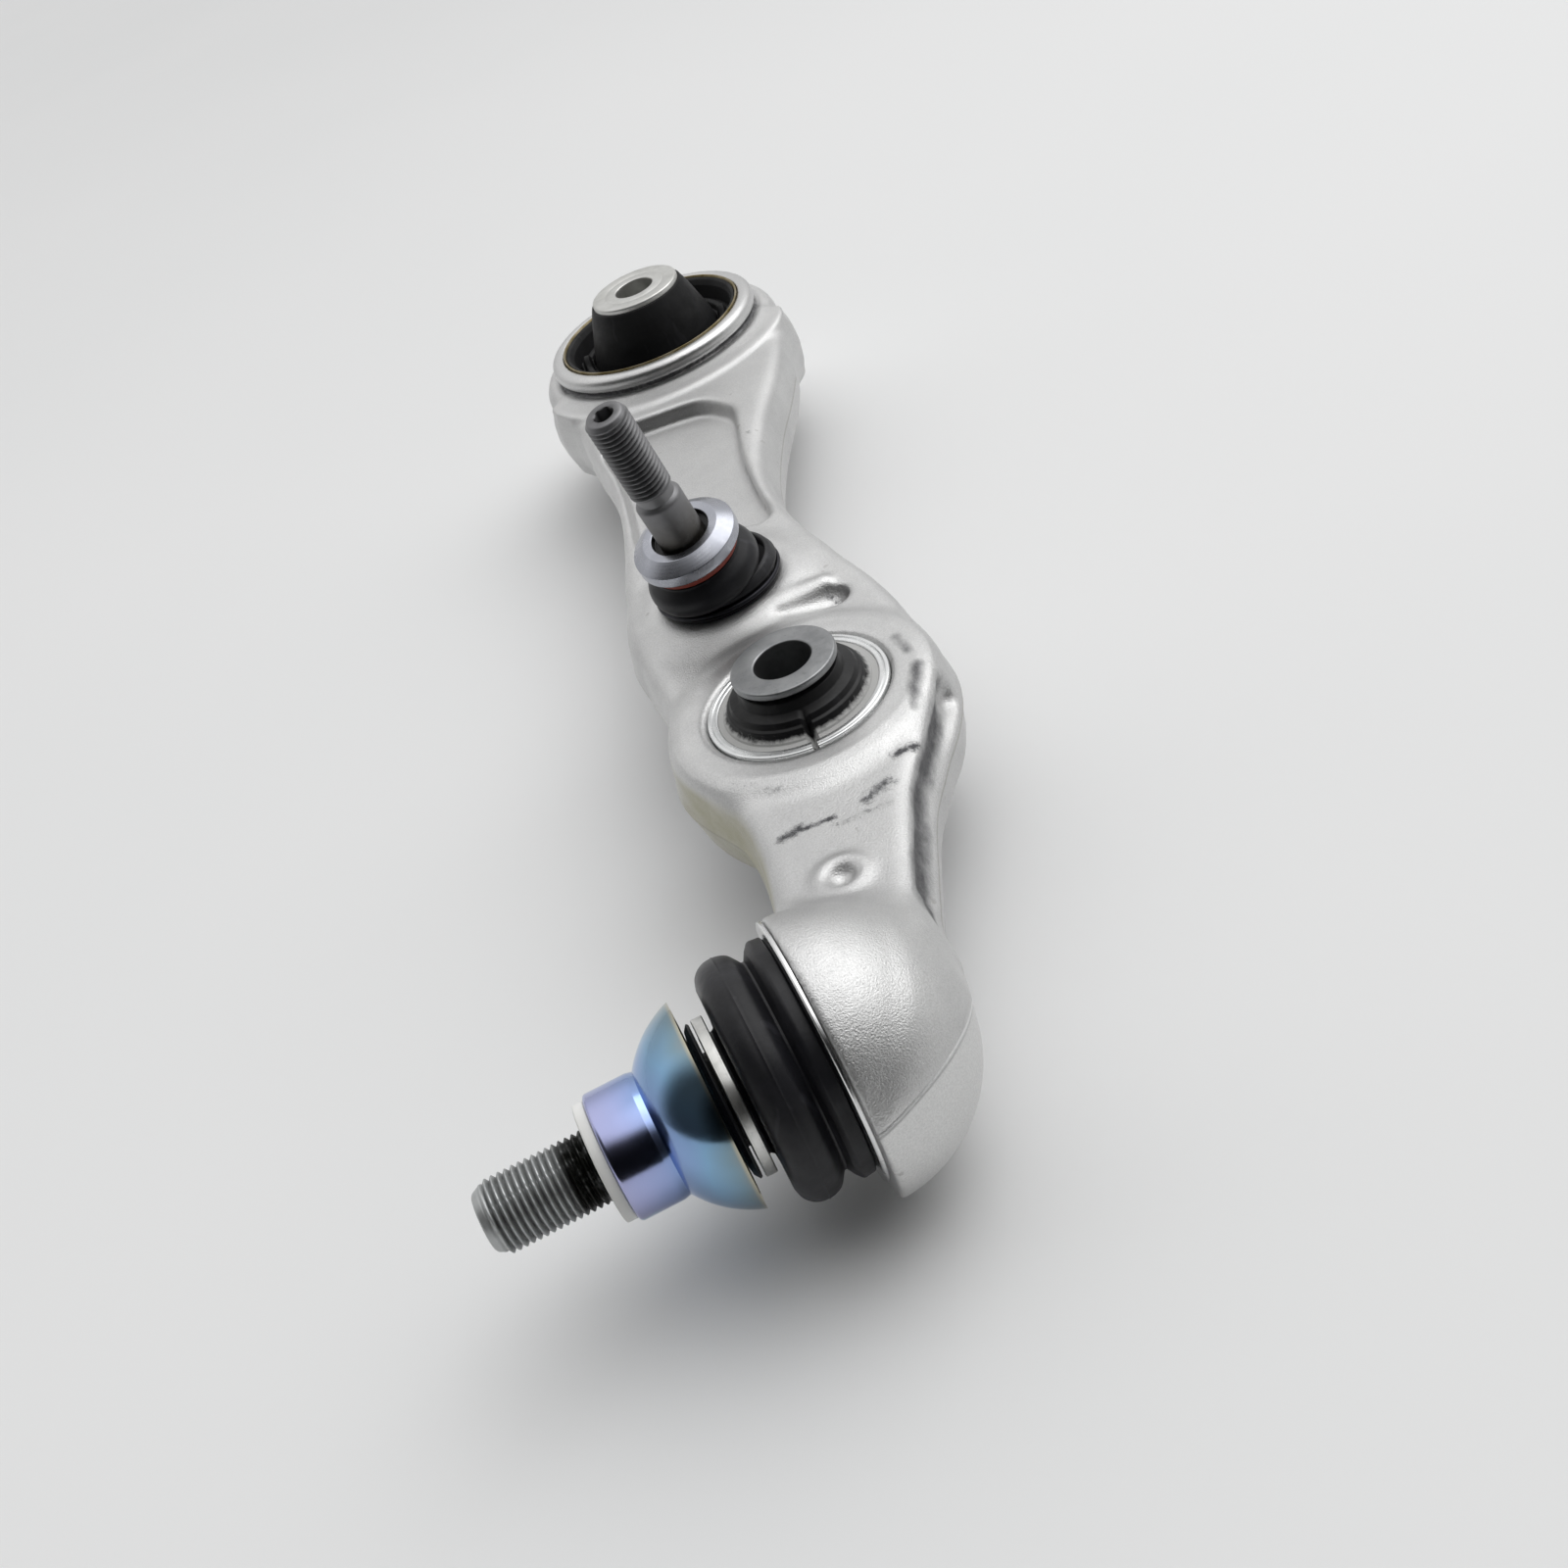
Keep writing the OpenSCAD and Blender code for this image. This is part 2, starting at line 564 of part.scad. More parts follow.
arm_forging();
bush_shell();
bush_rubber();
bush_inner_sleeve();
strut_shell();
strut_rubber();
strut_sleeve();
joint_ball_seat();
joint_closing_ring();
joint_boot_band();
joint_boot();
joint_snap_ring();
joint_lip_seal();
ball_stud();
cone_sleeve();
thread_washer();
pin_ball_seat();
pin_closing_disc();
pin_boot_clip();
pin_boot();
pin_seal_ring();
ball_pin();
pin_collar_disc();
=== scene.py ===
"""Looks of a forged aluminium control arm with two rubber bushes and two ball joints.

Lengths in the tables are millimetres in the row frame: the origin is the centre of the inner bush,
+Z runs along the bush axes and -Y points to the main ball joint.
"""

import math
from functools import partialmethod

import bmesh
import bpy
import numpy as np
import openvdb
from mathutils import Matrix, Vector


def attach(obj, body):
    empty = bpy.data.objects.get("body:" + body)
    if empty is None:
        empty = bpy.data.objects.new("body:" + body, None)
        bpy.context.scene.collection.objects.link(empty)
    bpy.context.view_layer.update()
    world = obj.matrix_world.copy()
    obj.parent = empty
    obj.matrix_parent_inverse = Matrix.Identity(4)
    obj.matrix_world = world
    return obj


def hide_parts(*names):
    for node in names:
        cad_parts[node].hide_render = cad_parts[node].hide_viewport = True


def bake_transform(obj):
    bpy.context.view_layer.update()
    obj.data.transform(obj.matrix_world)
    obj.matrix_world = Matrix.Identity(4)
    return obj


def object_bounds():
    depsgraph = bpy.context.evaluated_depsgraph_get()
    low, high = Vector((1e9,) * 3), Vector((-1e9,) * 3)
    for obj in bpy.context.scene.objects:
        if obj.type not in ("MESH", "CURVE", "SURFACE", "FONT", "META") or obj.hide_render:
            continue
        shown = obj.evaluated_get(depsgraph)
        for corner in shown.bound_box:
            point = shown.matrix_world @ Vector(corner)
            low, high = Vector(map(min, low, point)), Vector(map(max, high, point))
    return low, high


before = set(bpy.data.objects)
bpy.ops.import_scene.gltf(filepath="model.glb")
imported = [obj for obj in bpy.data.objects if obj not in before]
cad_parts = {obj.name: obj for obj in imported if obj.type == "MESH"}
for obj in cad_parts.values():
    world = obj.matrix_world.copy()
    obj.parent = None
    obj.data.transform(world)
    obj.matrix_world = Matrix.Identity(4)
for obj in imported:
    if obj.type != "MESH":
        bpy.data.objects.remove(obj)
CAD_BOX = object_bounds()
MM = 0.001
scene = bpy.context.scene

# ---- camera ------------------------------------------------------------------

CAMERA_AT = Vector((-0.01124, -0.62846, 0.26045))
CAMERA_AIM = Vector((-0.0199, -0.2654, 0.0))
CAMERA_ROLL = math.radians(-25.06)

camera_data = bpy.data.cameras.new("camera")
camera = bpy.data.objects.new("camera", camera_data)
scene.collection.objects.link(camera)
scene.camera = camera
camera_data.sensor_width = 36.0
camera_data.lens = 41.625
camera_data.clip_start = 0.01
camera_data.clip_end = 50.0
camera.location = CAMERA_AT
turn = (CAMERA_AIM - CAMERA_AT).to_track_quat("-Z", "Y").to_matrix()
camera.rotation_euler = (turn @ Matrix.Rotation(CAMERA_ROLL, 3, "Z")).to_euler()

# ---- layout ------------------------------------------------------------------

EYE = (0.0, 0.0)
PIN = (-14.4, -186.6)
STRUT = (-7.8, -252.2)
MOUTH = (-33.4, -357.6)
MOUTH_Z = 1.0
DOME = (-33.34, -358.8, -1.0)
FLASH_AT = Vector((-14.8, -380.6, 5.6))
FLASH_UP = Vector((-0.317, 0.425, 0.847))
PIN_BALL_Z = 3.0
DIMPLE = (-15.6, -323.0)
BUSH_R, EYE_TOP = 33.5, 19.6
SHELL_R, BOSS_TOP = 24.0, 13.5
PIN_SEAT_R = 14.5
HOUSING_R = 31.9
POCKET_FLOOR = 5.0


def axes(origin, x, z):
    """A place: a matrix whose local +Z runs along z, with its origin in millimetres."""
    z = Vector(z).normalized()
    y = z.cross(Vector(x)).normalized()
    x = y.cross(z)
    m = Matrix((x, y, z)).transposed().to_4x4()
    m.translation = Vector(origin)
    return m


AT_EYE = axes((0, 0, 0), (1, 0, 0), (0, 0, 1))
AT_STRUT = axes((*STRUT, 0), (1, 0, 0), (0, 0, 1))
AT_BOSS = axes((*PIN, 0), (1, 0, 0), (0, 0, 1))
STUD_AXIS = Vector((-0.99217, -0.11831, 0.04013)).normalized()
AT_JOINT = axes((*MOUTH, MOUTH_Z), (0.0398, 0.0048, 0.9992), STUD_AXIS)
PIN_AXIS = Vector((-0.11425, -0.16333, 0.97993)).normalized()
AT_PIN = axes((*PIN, PIN_BALL_Z), (0.99327, 0, 0.1158), PIN_AXIS)


# ---- material helpers --------------------------------------------------------


class Nodes:
    """Builds one procedural material, node by node."""

    def __init__(self, name, **settings):
        self.material = bpy.data.materials.new(name)
        self.material.use_nodes = True
        self.tree = self.material.node_tree
        self.shader = self.tree.nodes["Principled BSDF"]
        for key, value in settings.items():
            self.shader.inputs[key.replace("_", " ")].default_value = value
        self.place = self.add("ShaderNodeTexCoord").outputs["Object"]

    def add(self, kind, inputs=(), **attributes):
        node = self.tree.nodes.new(kind)
        for key, value in attributes.items():
            setattr(node, key, value)
        for key, value in dict(inputs).items():
            if isinstance(value, bpy.types.NodeSocket):
                self.tree.links.new(value, node.inputs[key])
            else:
                node.inputs[key].default_value = value
        return node

    def noise(self, scale, detail=3.0, rough=0.55, stretch=None):
        vector = self.place
        if stretch:
            vector = self.add("ShaderNodeMapping", {"Vector": vector, "Scale": stretch}).outputs[0]
        settings = {"Vector": vector, "Scale": scale, "Detail": detail, "Roughness": rough}
        return self.add("ShaderNodeTexNoise", settings).outputs["Fac"]

    def cells(self, scale):
        settings = {"Vector": self.place, "Scale": scale}
        return self.add("ShaderNodeTexVoronoi", settings).outputs["Distance"]

    def ramp(self, factor, *stops):
        node = self.add("ShaderNodeValToRGB", {"Fac": factor})
        elements = node.color_ramp.elements
        while len(elements) < len(stops):
            elements.new(0.5)
        for element, (at, colour) in zip(elements, stops):
            element.position = at
            grey = isinstance(colour, (int, float))
            element.color = (colour, colour, colour, 1) if grey else (*colour, 1)
        return node.outputs["Color"]

    def math(self, operation, a, b=0.0, clamp=False):
        node = self.add("ShaderNodeMath", {0: a, 1: b}, operation=operation, use_clamp=clamp)
        return node.outputs[0]

    times = partialmethod(math, "MULTIPLY")
    over = partialmethod(math, "DIVIDE")
    plus = partialmethod(math, "ADD")
    minus = partialmethod(math, "SUBTRACT")

    def mix(self, factor, a, b, blend="MIX"):
        node = self.add("ShaderNodeMix", data_type="RGBA", blend_type=blend)
        for key, value in ((0, factor), (6, a), (7, b)):
            if isinstance(value, bpy.types.NodeSocket):
                self.tree.links.new(value, node.inputs[key])
            else:
                node.inputs[key].default_value = value if key == 0 else (*value, 1)
        return node.outputs[2]

    def layer(self, name):
        """A mask that the piece's own mesh carries."""
        return self.add("ShaderNodeAttribute", attribute_name=name).outputs["Fac"]

    def height(self, place):
        """Distance along a place's axis and from it, in millimetres."""
        inverse = place.inverted().to_3x3()
        origin = place.translation * MM
        moved = self.add("ShaderNodeVectorMath", {0: self.place, 1: origin}, operation="SUBTRACT")
        parts = []
        for row in inverse:
            dot = self.add("ShaderNodeVectorMath", {0: moved.outputs[0], 1: tuple(row)},
                           operation="DOT_PRODUCT")
            parts.append(self.times(dot.outputs["Value"], 1000.0))
        squares = [self.math("POWER", part, 2.0) for part in parts[:2]]
        across = self.math("POWER", self.plus(*squares), 0.5)
        return parts[2], across

    def above(self, point, up):
        """Height in millimetres above a plane through a point."""
        moved = self.add("ShaderNodeVectorMath", {0: self.place, 1: point * MM},
                         operation="SUBTRACT").outputs[0]
        dot = self.add("ShaderNodeVectorMath", {0: moved, 1: up}, operation="DOT_PRODUCT")
        return self.times(dot.outputs["Value"], 1000.0)

    def line(self, height, half_width):
        """1 on the plane, falling to 0 at half_width from it."""
        share = self.over(self.math("ABSOLUTE", height), half_width)
        return self.minus(1.0, share, True)

    def colour(self, socket):
        self.tree.links.new(socket, self.shader.inputs["Base Color"])

    def rough(self, socket):
        self.tree.links.new(socket, self.shader.inputs["Roughness"])

    def bump(self, *layers):
        """Layers of (height socket, strength, distance in millimetres), finest last."""
        normal = None
        for height, strength, distance in layers:
            settings = {"Height": height, "Strength": strength, "Distance": distance * MM}
            if normal is not None:
                settings["Normal"] = normal
            normal = self.add("ShaderNodeBump", settings).outputs[0]
        self.tree.links.new(normal, self.shader.inputs["Normal"])
        return self.material


# ---- materials ---------------------------------------------------------------


def forged_aluminium():
    """Shot-blasted forging: fine sand, cloudy tone, a painted olive reflection on the lower left
    flank, dark marks with painted shade in grooves, on a pocket wall and along a web edge, scuffs,
    and a nearly white flash line with painted shade just below it.
    """
    n = Nodes("forged_aluminium", Metallic=1.0)
    sand = n.noise(2300.0, 3.0, 0.7)
    blast = n.cells(1900.0)
    patch = n.noise(38.0, 4.0, 0.6)
    smear = n.noise(85.0, 5.0, 0.65, (1.3, 0.45, 1.0))
    speck = n.noise(560.0, 4.0, 0.75)
    base = n.ramp(patch, (0.3, (0.555, 0.555, 0.555)), (0.7, (0.645, 0.645, 0.64)))
    wobble = n.times(n.minus(smear, 0.5), 0.7)
    flash_height = n.plus(n.above(FLASH_AT, FLASH_UP), wobble)
    flash = n.times(n.line(flash_height, 0.60), n.layer("flash"))
    # painted shade: a dark line just below the flash ridge's step
    shade_under_flash = n.times(n.line(n.plus(flash_height, 0.62), 0.40), n.layer("flash"))
    parting_height = n.plus(n.above(Vector(), Vector((0, 0, 1))), wobble)
    parting = n.times(n.line(parting_height, 0.6), n.layer("parting"))
    below = n.times(n.math("LESS_THAN", flash_height, 0.0), n.layer("flash"))
    base = n.mix(below, base, (0.69, 0.69, 0.685))
    glint = n.ramp(sand, (0.35, 0.88), (0.65, 1.06))
    base = n.mix(1.0, base, glint, "MULTIPLY")
    # painted reflection: an olive tint on the lower left flank, on faces turned towards -X
    olive_reflection = n.times(n.layer("olive_reflection"), n.ramp(smear, (0.3, 0.45), (0.6, 1.0)))
    base = n.mix(olive_reflection, base, (0.40, 0.385, 0.29))
    base = n.mix(n.times(parting, 0.55), base, (0.30, 0.29, 0.25))
    base = n.mix(n.times(shade_under_flash, 0.45), base, (0.25, 0.25, 0.25))
    base = n.mix(n.times(flash, 0.7), base, (0.92, 0.92, 0.92))
    # dark marks, with painted shade in the eye's groove, on a pocket wall and along the middle
    # web's right edge
    marks_and_shade = n.times(n.layer("dark_marks_and_shade"), 1.9)
    dark_marks_and_shade = n.minus(marks_and_shade, n.ramp(smear, (0.3, 0.05), (0.68, 1.0)), True)
    dark_marks_and_shade = n.times(dark_marks_and_shade, n.ramp(speck, (0.3, 0.80), (0.6, 1.0)))
    base = n.mix(dark_marks_and_shade, base, (0.13, 0.13, 0.135))
    film = n.times(n.math("POWER", n.layer("scuff"), 1.5), 0.55)
    base = n.mix(film, base, (0.22, 0.22, 0.225))
    dots = n.minus(n.times(n.layer("scuff"), 1.7), n.ramp(speck, (0.36, 0.0), (0.62, 1.0)), True)
    base = n.mix(dots, base, (0.10, 0.10, 0.105))
    spots = n.ramp(n.noise(210.0, 2.0, 0.4), (0.74, 0.0), (0.77, 0.45))
    n.colour(n.mix(spots, base, (0.30, 0.29, 0.28)))
    dull = n.ramp(patch, (0.25, 0.45), (0.75, 0.37))
    dull = n.mix(n.layer("machined"), dull, (0.34, 0.34, 0.34))
    n.rough(n.mix(n.math("MAXIMUM", dark_marks_and_shade, dots), dull, (0.62, 0.62, 0.62)))
    keep = n.minus(1.0, n.times(n.layer("machined"), 0.8))
    keep = n.times(keep, n.minus(1.0, n.times(below, 0.6)))
    pits = n.ramp(blast, (0.0, 0.0), (0.6, 1.0))
    return n.bump((n.noise(90.0, 3.0, 0.5), 0.25, 0.6),
                  (n.times(pits, keep), 0.20, 0.20),
                  (n.times(sand, keep), 0.62, 0.24), (flash, 0.8, 0.5),
                  (parting, 0.5, 0.3))


def rubber(name, shade, gloss, place=None, rim=0.0):
    """Black moulded rubber with fine grain and scratches; beyond rim it is pale and ragged."""
    n = Nodes(name, Metallic=0.0, Specular_IOR_Level=0.30)
    grain = n.noise(1100.0, 3.0, 0.6)
    cloud = n.noise(95.0, 4.0, 0.65)
    scratch = n.noise(260.0, 2.0, 0.5, (1.0, 1.0, 0.12))
    base = n.ramp(cloud, (0.3, tuple(c * 0.75 for c in shade)),
                  (0.7, tuple(c * 1.35 for c in shade)))
    worn = n.ramp(scratch, (0.63, 0.0), (0.72, 0.7))
    base = n.mix(worn, base, tuple(c * 3.5 + 0.006 for c in shade))
    bloom = n.ramp(n.noise(48.0, 5.0, 0.7), (0.45, 0.0), (0.72, 0.8))
    base = n.mix(bloom, base, tuple(c * 2.2 + 0.006 for c in shade))
    if rim:
        _, radius = n.height(place)
        ragged = n.times(n.noise(420.0, 4.0, 0.7), 2.6)
        pale = n.minus(n.plus(radius, ragged), rim, True)
        base = n.mix(n.times(pale, 0.9), base, (0.50, 0.50, 0.49))
    n.colour(base)
    n.rough(n.ramp(cloud, (0.3, gloss + 0.12), (0.7, gloss - 0.08)))
    return n.bump((n.noise(150.0, 3.0, 0.5), 0.22, 0.4), (worn, 0.20, 0.15), (grain, 0.22, 0.14))


def turned_metal(name, place, colour, gloss, spread=0.06, grooves=0.10, pitch=0.16, speck=0.0,
                 shade_pit_r=0.0):
    """Metal turned on a lathe: rings that follow the piece's own axis, with faint variation.

    Inside the given radius it is painted near black: painted shade in a recess."""
    n = Nodes(name, Metallic=1.0)
    s, radius = n.height(place)
    cloud = n.noise(160.0, 4.0, 0.6)
    wave = n.plus(n.plus(s, radius), n.times(cloud, 0.25))
    ring = n.math("SINE", n.times(wave, 2 * math.pi / pitch))
    low = tuple(max(c - spread, 0.0) for c in colour)
    high = tuple(min(c + spread, 1.0) for c in colour)
    base = n.ramp(cloud, (0.3, low), (0.7, high))
    if speck:
        base = n.mix(n.ramp(n.noise(520.0, 3.0, 0.7), (0.58, 0.0), (0.68, speck)), base,
                     tuple(c * 0.35 for c in colour))
    if shade_pit_r:
        base = n.mix(n.math("LESS_THAN", radius, shade_pit_r), base, (0.02, 0.02, 0.02))
    n.colour(base)
    n.rough(n.ramp(cloud, (0.3, gloss + 0.07), (0.7, max(gloss - 0.06, 0.05))))
    return n.bump((n.noise(220.0, 3.0, 0.6), 0.10, 0.2), (ring, grooves, 0.04))


def blue_passivate():
    """Blue zinc plating whose colour drifts along the sleeve, from its rim to its collar."""
    n = Nodes("blue_passivate", Metallic=1.0)
    s, _ = n.height(AT_JOINT)
    cloud = n.noise(30.0, 3.0, 0.5)
    fine = n.noise(320.0, 3.0, 0.6)
    drift = n.times(cloud, 0.62)
    share = n.over(n.minus(s, 24.5), 24.0)
    key = n.minus(n.plus(n.times(share, 0.62), 0.12), drift)
    tones = n.ramp(n.plus(key, 0.40),
                   (0.00, (0.26, 0.245, 0.20)), (0.18, (0.27, 0.27, 0.24)),
                   (0.29, (0.22, 0.33, 0.40)), (0.42, (0.24, 0.42, 0.62)),
                   (0.58, (0.27, 0.38, 0.66)), (0.74, (0.38, 0.43, 0.70)),
                   (0.88, (0.42, 0.43, 0.66)), (1.00, (0.32, 0.48, 0.62)))
    teal = n.ramp(n.noise(75.0, 2.0, 0.5), (0.60, 0.0), (0.70, 0.55))
    tones = n.mix(n.times(teal, n.math("GREATER_THAN", s, 40.0)), tones, (0.22, 0.58, 0.62))
    rim = n.minus(1.0, n.over(n.minus(s, 24.5), 0.9), True)
    n.colour(n.mix(n.times(rim, 0.8), tones, (0.55, 0.50, 0.36)))
    n.rough(n.ramp(fine, (0.3, 0.18), (0.7, 0.11)))
    scratch = n.noise(500.0, 2.0, 0.5, (0.2, 1.0, 1.0))
    return n.bump((n.noise(260.0, 3.0, 0.6), 0.06, 0.15), (scratch, 0.08, 0.04))


def plastic(name, shade, gloss=0.45):
    """Moulded plastic with a faint grain."""
    n = Nodes(name, Metallic=0.0)
    cloud = n.noise(120.0, 3.0, 0.5)
    n.colour(n.ramp(cloud, (0.3, tuple(c * 0.92 for c in shade)), (0.7, shade)))
    n.rough(n.ramp(cloud, (0.3, gloss + 0.05), (0.7, gloss - 0.05)))
    return n.bump((n.noise(800.0, 2.0, 0.5), 0.08, 0.08))


def zinc_thread(name, place, start, end, dark_from, colour, dark):
    """Grey zinc on a thread, darkened up to start and fading back by dark_from, with painted shade
    in the thread roots and socket and a painted highlight on the crests.
    """
    n = Nodes(name, Metallic=0.85)
    s, _ = n.height(place)
    cloud = n.noise(260.0, 4.0, 0.65)
    crest = n.layer("crest")
    # painted shade and highlight: darker in the thread roots and the socket, brighter on the crests
    base = n.ramp(crest, (0.0, tuple(c * 0.42 for c in colour)), (0.75, colour),
                  (1.0, tuple(min(c * 1.22, 1.0) for c in colour)))
    base = n.mix(n.ramp(cloud, (0.35, 0.0), (0.75, 0.35)), base, tuple(c * 0.75 for c in colour))
    # darker up to start, fading back to the zinc colour by dark_from
    thread_darkening = n.minus(1.0, n.over(n.minus(s, start), dark_from - start), True)
    thread_darkening = n.times(thread_darkening, n.ramp(cloud, (0.3, 0.6), (0.5, 1.0)))
    n.colour(n.mix(thread_darkening, base, dark))
    n.rough(n.ramp(cloud, (0.3, 0.52), (0.7, 0.40)))
    return n.bump((n.noise(900.0, 2.0, 0.6), 0.14, 0.06))


# ---- mesh helpers ------------------------------------------------------------


def add_masks(mesh, masks):
    """Stores one number per vertex under each name."""
    for key, values in masks.items():
        layer = mesh.attributes.new(key, "FLOAT", "POINT")
        layer.data.foreach_set("value", np.asarray(values, np.float32))


def keep_mesh(name, verts, faces, place, material, smooth_angle=38.0, masks=None):
    """A new object from plain vertices in millimetres of the given place."""
    mesh = bpy.data.meshes.new(name)
    moved = np.asarray(verts, float) @ np.array(place.to_3x3()).T + np.array(place.translation)
    mesh.from_pydata((moved * MM).tolist(), [], faces)
    mesh.validate()
    bm = bmesh.new()
    bm.from_mesh(mesh)
    bmesh.ops.recalc_face_normals(bm, faces=bm.faces)
    bm.to_mesh(mesh)
    bm.free()
    mesh.polygons.foreach_set("use_smooth", [True] * len(mesh.polygons))
    mesh.set_sharp_from_angle(angle=math.radians(smooth_angle))
    add_masks(mesh, masks or {})
    piece = bpy.data.objects.new(name, mesh)
    scene.collection.objects.link(piece)
    mesh.materials.append(material)
    return piece


def rounded(outline, steps=4):
    """The outline with each corner (r, h, radius) made an arc; a corner of two numbers stays."""
    out = []
    n = len(outline)
    for i, point in enumerate(outline):
        here = np.array(point[:2], float)
        radius = point[2] if len(point) > 2 else 0.0
        if radius <= 0:
            out.append(tuple(here))
            continue
        back = np.array(outline[i - 1][:2], float) - here
        on = np.array(outline[(i + 1) % n][:2], float) - here
        long_back, long_on = np.linalg.norm(back), np.linalg.norm(on)
        back, on = back / long_back, on / long_on
        half = math.acos(float(np.clip(back @ on, -1, 1))) / 2
        if half > math.radians(88):
            out.append(tuple(here))
            continue
        reach = min(radius / math.tan(half), 0.48 * long_back, 0.48 * long_on)
        size = reach * math.tan(half)
        middle = (back + on) / np.linalg.norm(back + on)
        centre = here + middle * size / math.sin(half)
        first, last = here + back * reach - centre, here + on * reach - centre
        a = math.atan2(first[1], first[0])
        b = math.atan2(last[1], last[0])
        sweep = (b - a + math.pi) % (2 * math.pi) - math.pi
        for k in range(steps + 1):
            angle = a + sweep * k / steps
            out.append((centre[0] + size * math.cos(angle), centre[1] + size * math.sin(angle)))
    return out


def between(a, b, c, d, steps):
    """Points of a smooth curve from b up to c; a and d are the points before and after."""
    return [0.5 * (2 * b + (c - a) * t + (2 * a - 5 * b + 4 * c - d) * t * t
                   + (3 * b - a - 3 * c + d) * t ** 3) for t in np.arange(steps) / steps]


def open_curve(points, steps=5):
    """A smooth curve through the points, from the first to the last."""
    pts = np.asarray(points, float)
    pts = np.vstack((2 * pts[0] - pts[1], pts, 2 * pts[-1] - pts[-2]))
    out = []
    for a, b, c, d in zip(pts, pts[1:], pts[2:], pts[3:]):
        out += [tuple(point) for point in between(a, b, c, d, steps)]
    return out + [tuple(points[-1])]


def lathe(name, outline, place, material, segments=128, arc=None, smooth_angle=38.0, warp=None):
    """A closed outline of (r, h[, corner radius]) turned round a place's axis.

    Points at r = 0 become one point on the axis. arc gives a start and end angle in degrees.
    warp(r, h, angle) moves a point, for ribs and mould lines."""
    points = rounded(outline)
    start, end = (0.0, 360.0) if arc is None else arc
    rows = segments if arc is None else segments + 1
    angles = [math.radians(start + (end - start) * k / segments) for k in range(rows)]
    verts, index = [], []
    for r, h in points:
        if r <= 1e-6:
            index.append([len(verts)] * rows)
            verts.append((0.0, 0.0, h))
            continue
        index.append(list(range(len(verts), len(verts) + rows)))
        for angle in angles:
            rr, hh = (r, h) if warp is None else warp(r, h, angle)
            verts.append((rr * math.cos(angle), rr * math.sin(angle), hh))
    faces = []
    steps = rows if arc is None else rows - 1
    for i in range(len(points)):
        a, b = index[i], index[(i + 1) % len(points)]
        for k in range(steps):
            on = (k + 1) % rows
            face = []
            for v in (a[k], a[on], b[on], b[k]):
                if v not in face:
                    face.append(v)
            if len(face) > 2:
                faces.append(face)
    if arc is not None:
        faces.append([row[0] for row in index])
        faces.append([row[-1] for row in index][::-1])
    return keep_mesh(name, verts, faces, place, material, smooth_angle)


def mirrored(half):
    """An outline whose lower half repeats its upper half about h = 0."""
    lower = [(p[0], -p[1], *p[2:]) for p in reversed(half) if p[1] > 1e-6]
    return [*half, *lower]


THREAD_STEP = 0.15


def threaded(name, rows, place, material, thread, pitch, depth, segments=144, bore=None):
    """A turned bar whose radius follows rows of (h, r), with a helical thread between two heights.

    bore is (across flats, depth) of a six-sided socket in its far end."""
    start, end = thread
    heights = []
    for (h0, _), (h1, _) in zip(rows, rows[1:]):
        inside = h1 > start and h0 < end
        count = max(1, int(round((h1 - h0) / THREAD_STEP))) if inside else 1
        heights += [h0 + (h1 - h0) * k / count for k in range(count)]
    heights.append(rows[-1][0])
    known_h, known_r = zip(*rows)
    top_h = rows[-1][0]
    verts, crest, faces = [(0.0, 0.0, rows[0][0])], [1.0], []
    angle = np.arange(segments) * 2 * math.pi / segments
    for h in heights:
        base = float(np.interp(h, known_h, known_r))
        phase = (h / pitch - angle / (2 * math.pi)) % 1.0
        cut = np.clip((1 - np.abs(2 * phase - 1) - 0.08) / 0.80, 0, 1)
        fade = min(max((h - start) / pitch, 0.0), 1.0) * min(max((end - h) / pitch, 0.0), 1.0)
        radius = base - depth * (1 - cut) * fade
        verts += [(r * math.cos(a), r * math.sin(a), h) for r, a in zip(radius, angle)]
        crest += list(1 - (1 - cut) * fade)

    def bridge(low, high):
        """Faces between two rings of vertices."""
        for k in range(segments):
            on = (k + 1) % segments
            faces.append((low + k, low + on, high + on, high + k))

    for row in range(len(heights) - 1):
        bridge(1 + row * segments, 1 + (row + 1) * segments)
    faces += [(0, 1 + (k + 1) % segments, 1 + k) for k in range(segments)]
    ring = 1 + (len(heights) - 1) * segments
    tip, tip_crest = top_h, 1.0
    if bore is not None:
        flats, deep = bore
        for size, h, six in ((flats / 2 * 1.16, top_h, False), (flats / 2, top_h - 0.4, True),
                             (flats / 2, top_h - deep, True)):
            share = (angle % (math.pi / 3)) - math.pi / 6
            r = size / np.cos(share) if six else np.full(segments, size)
            inner = len(verts)
            verts += [(q * math.cos(a), q * math.sin(a), h) for q, a in zip(r, angle)]
            # the socket walls get a low crest value, which the thread material paints as shade
            crest += [0.3] * segments
            bridge(ring, inner)
            ring = inner
        # the socket's floor gets crest 0, painted darkest as shade
        tip, tip_crest = top_h - deep - 1.2, 0.0
    verts.append((0.0, 0.0, tip))
    crest.append(tip_crest)
    faces += [(ring + k, ring + (k + 1) % segments, len(verts) - 1) for k in range(segments)]
    return keep_mesh(name, verts, faces, place, material, 50.0, {"crest": crest})


def finish_piece(piece, body, slot, *nodes):
    """The piece rides on its body and stands for its CAD nodes."""
    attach(piece, body)
    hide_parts(*nodes)


def finish_boot(piece, node):
    """The fold's place is baked into its mesh, and its CAD node is hidden."""
    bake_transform(piece)
    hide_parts(node)


# ---- arm: a distance field turned into a mesh --------------------------------

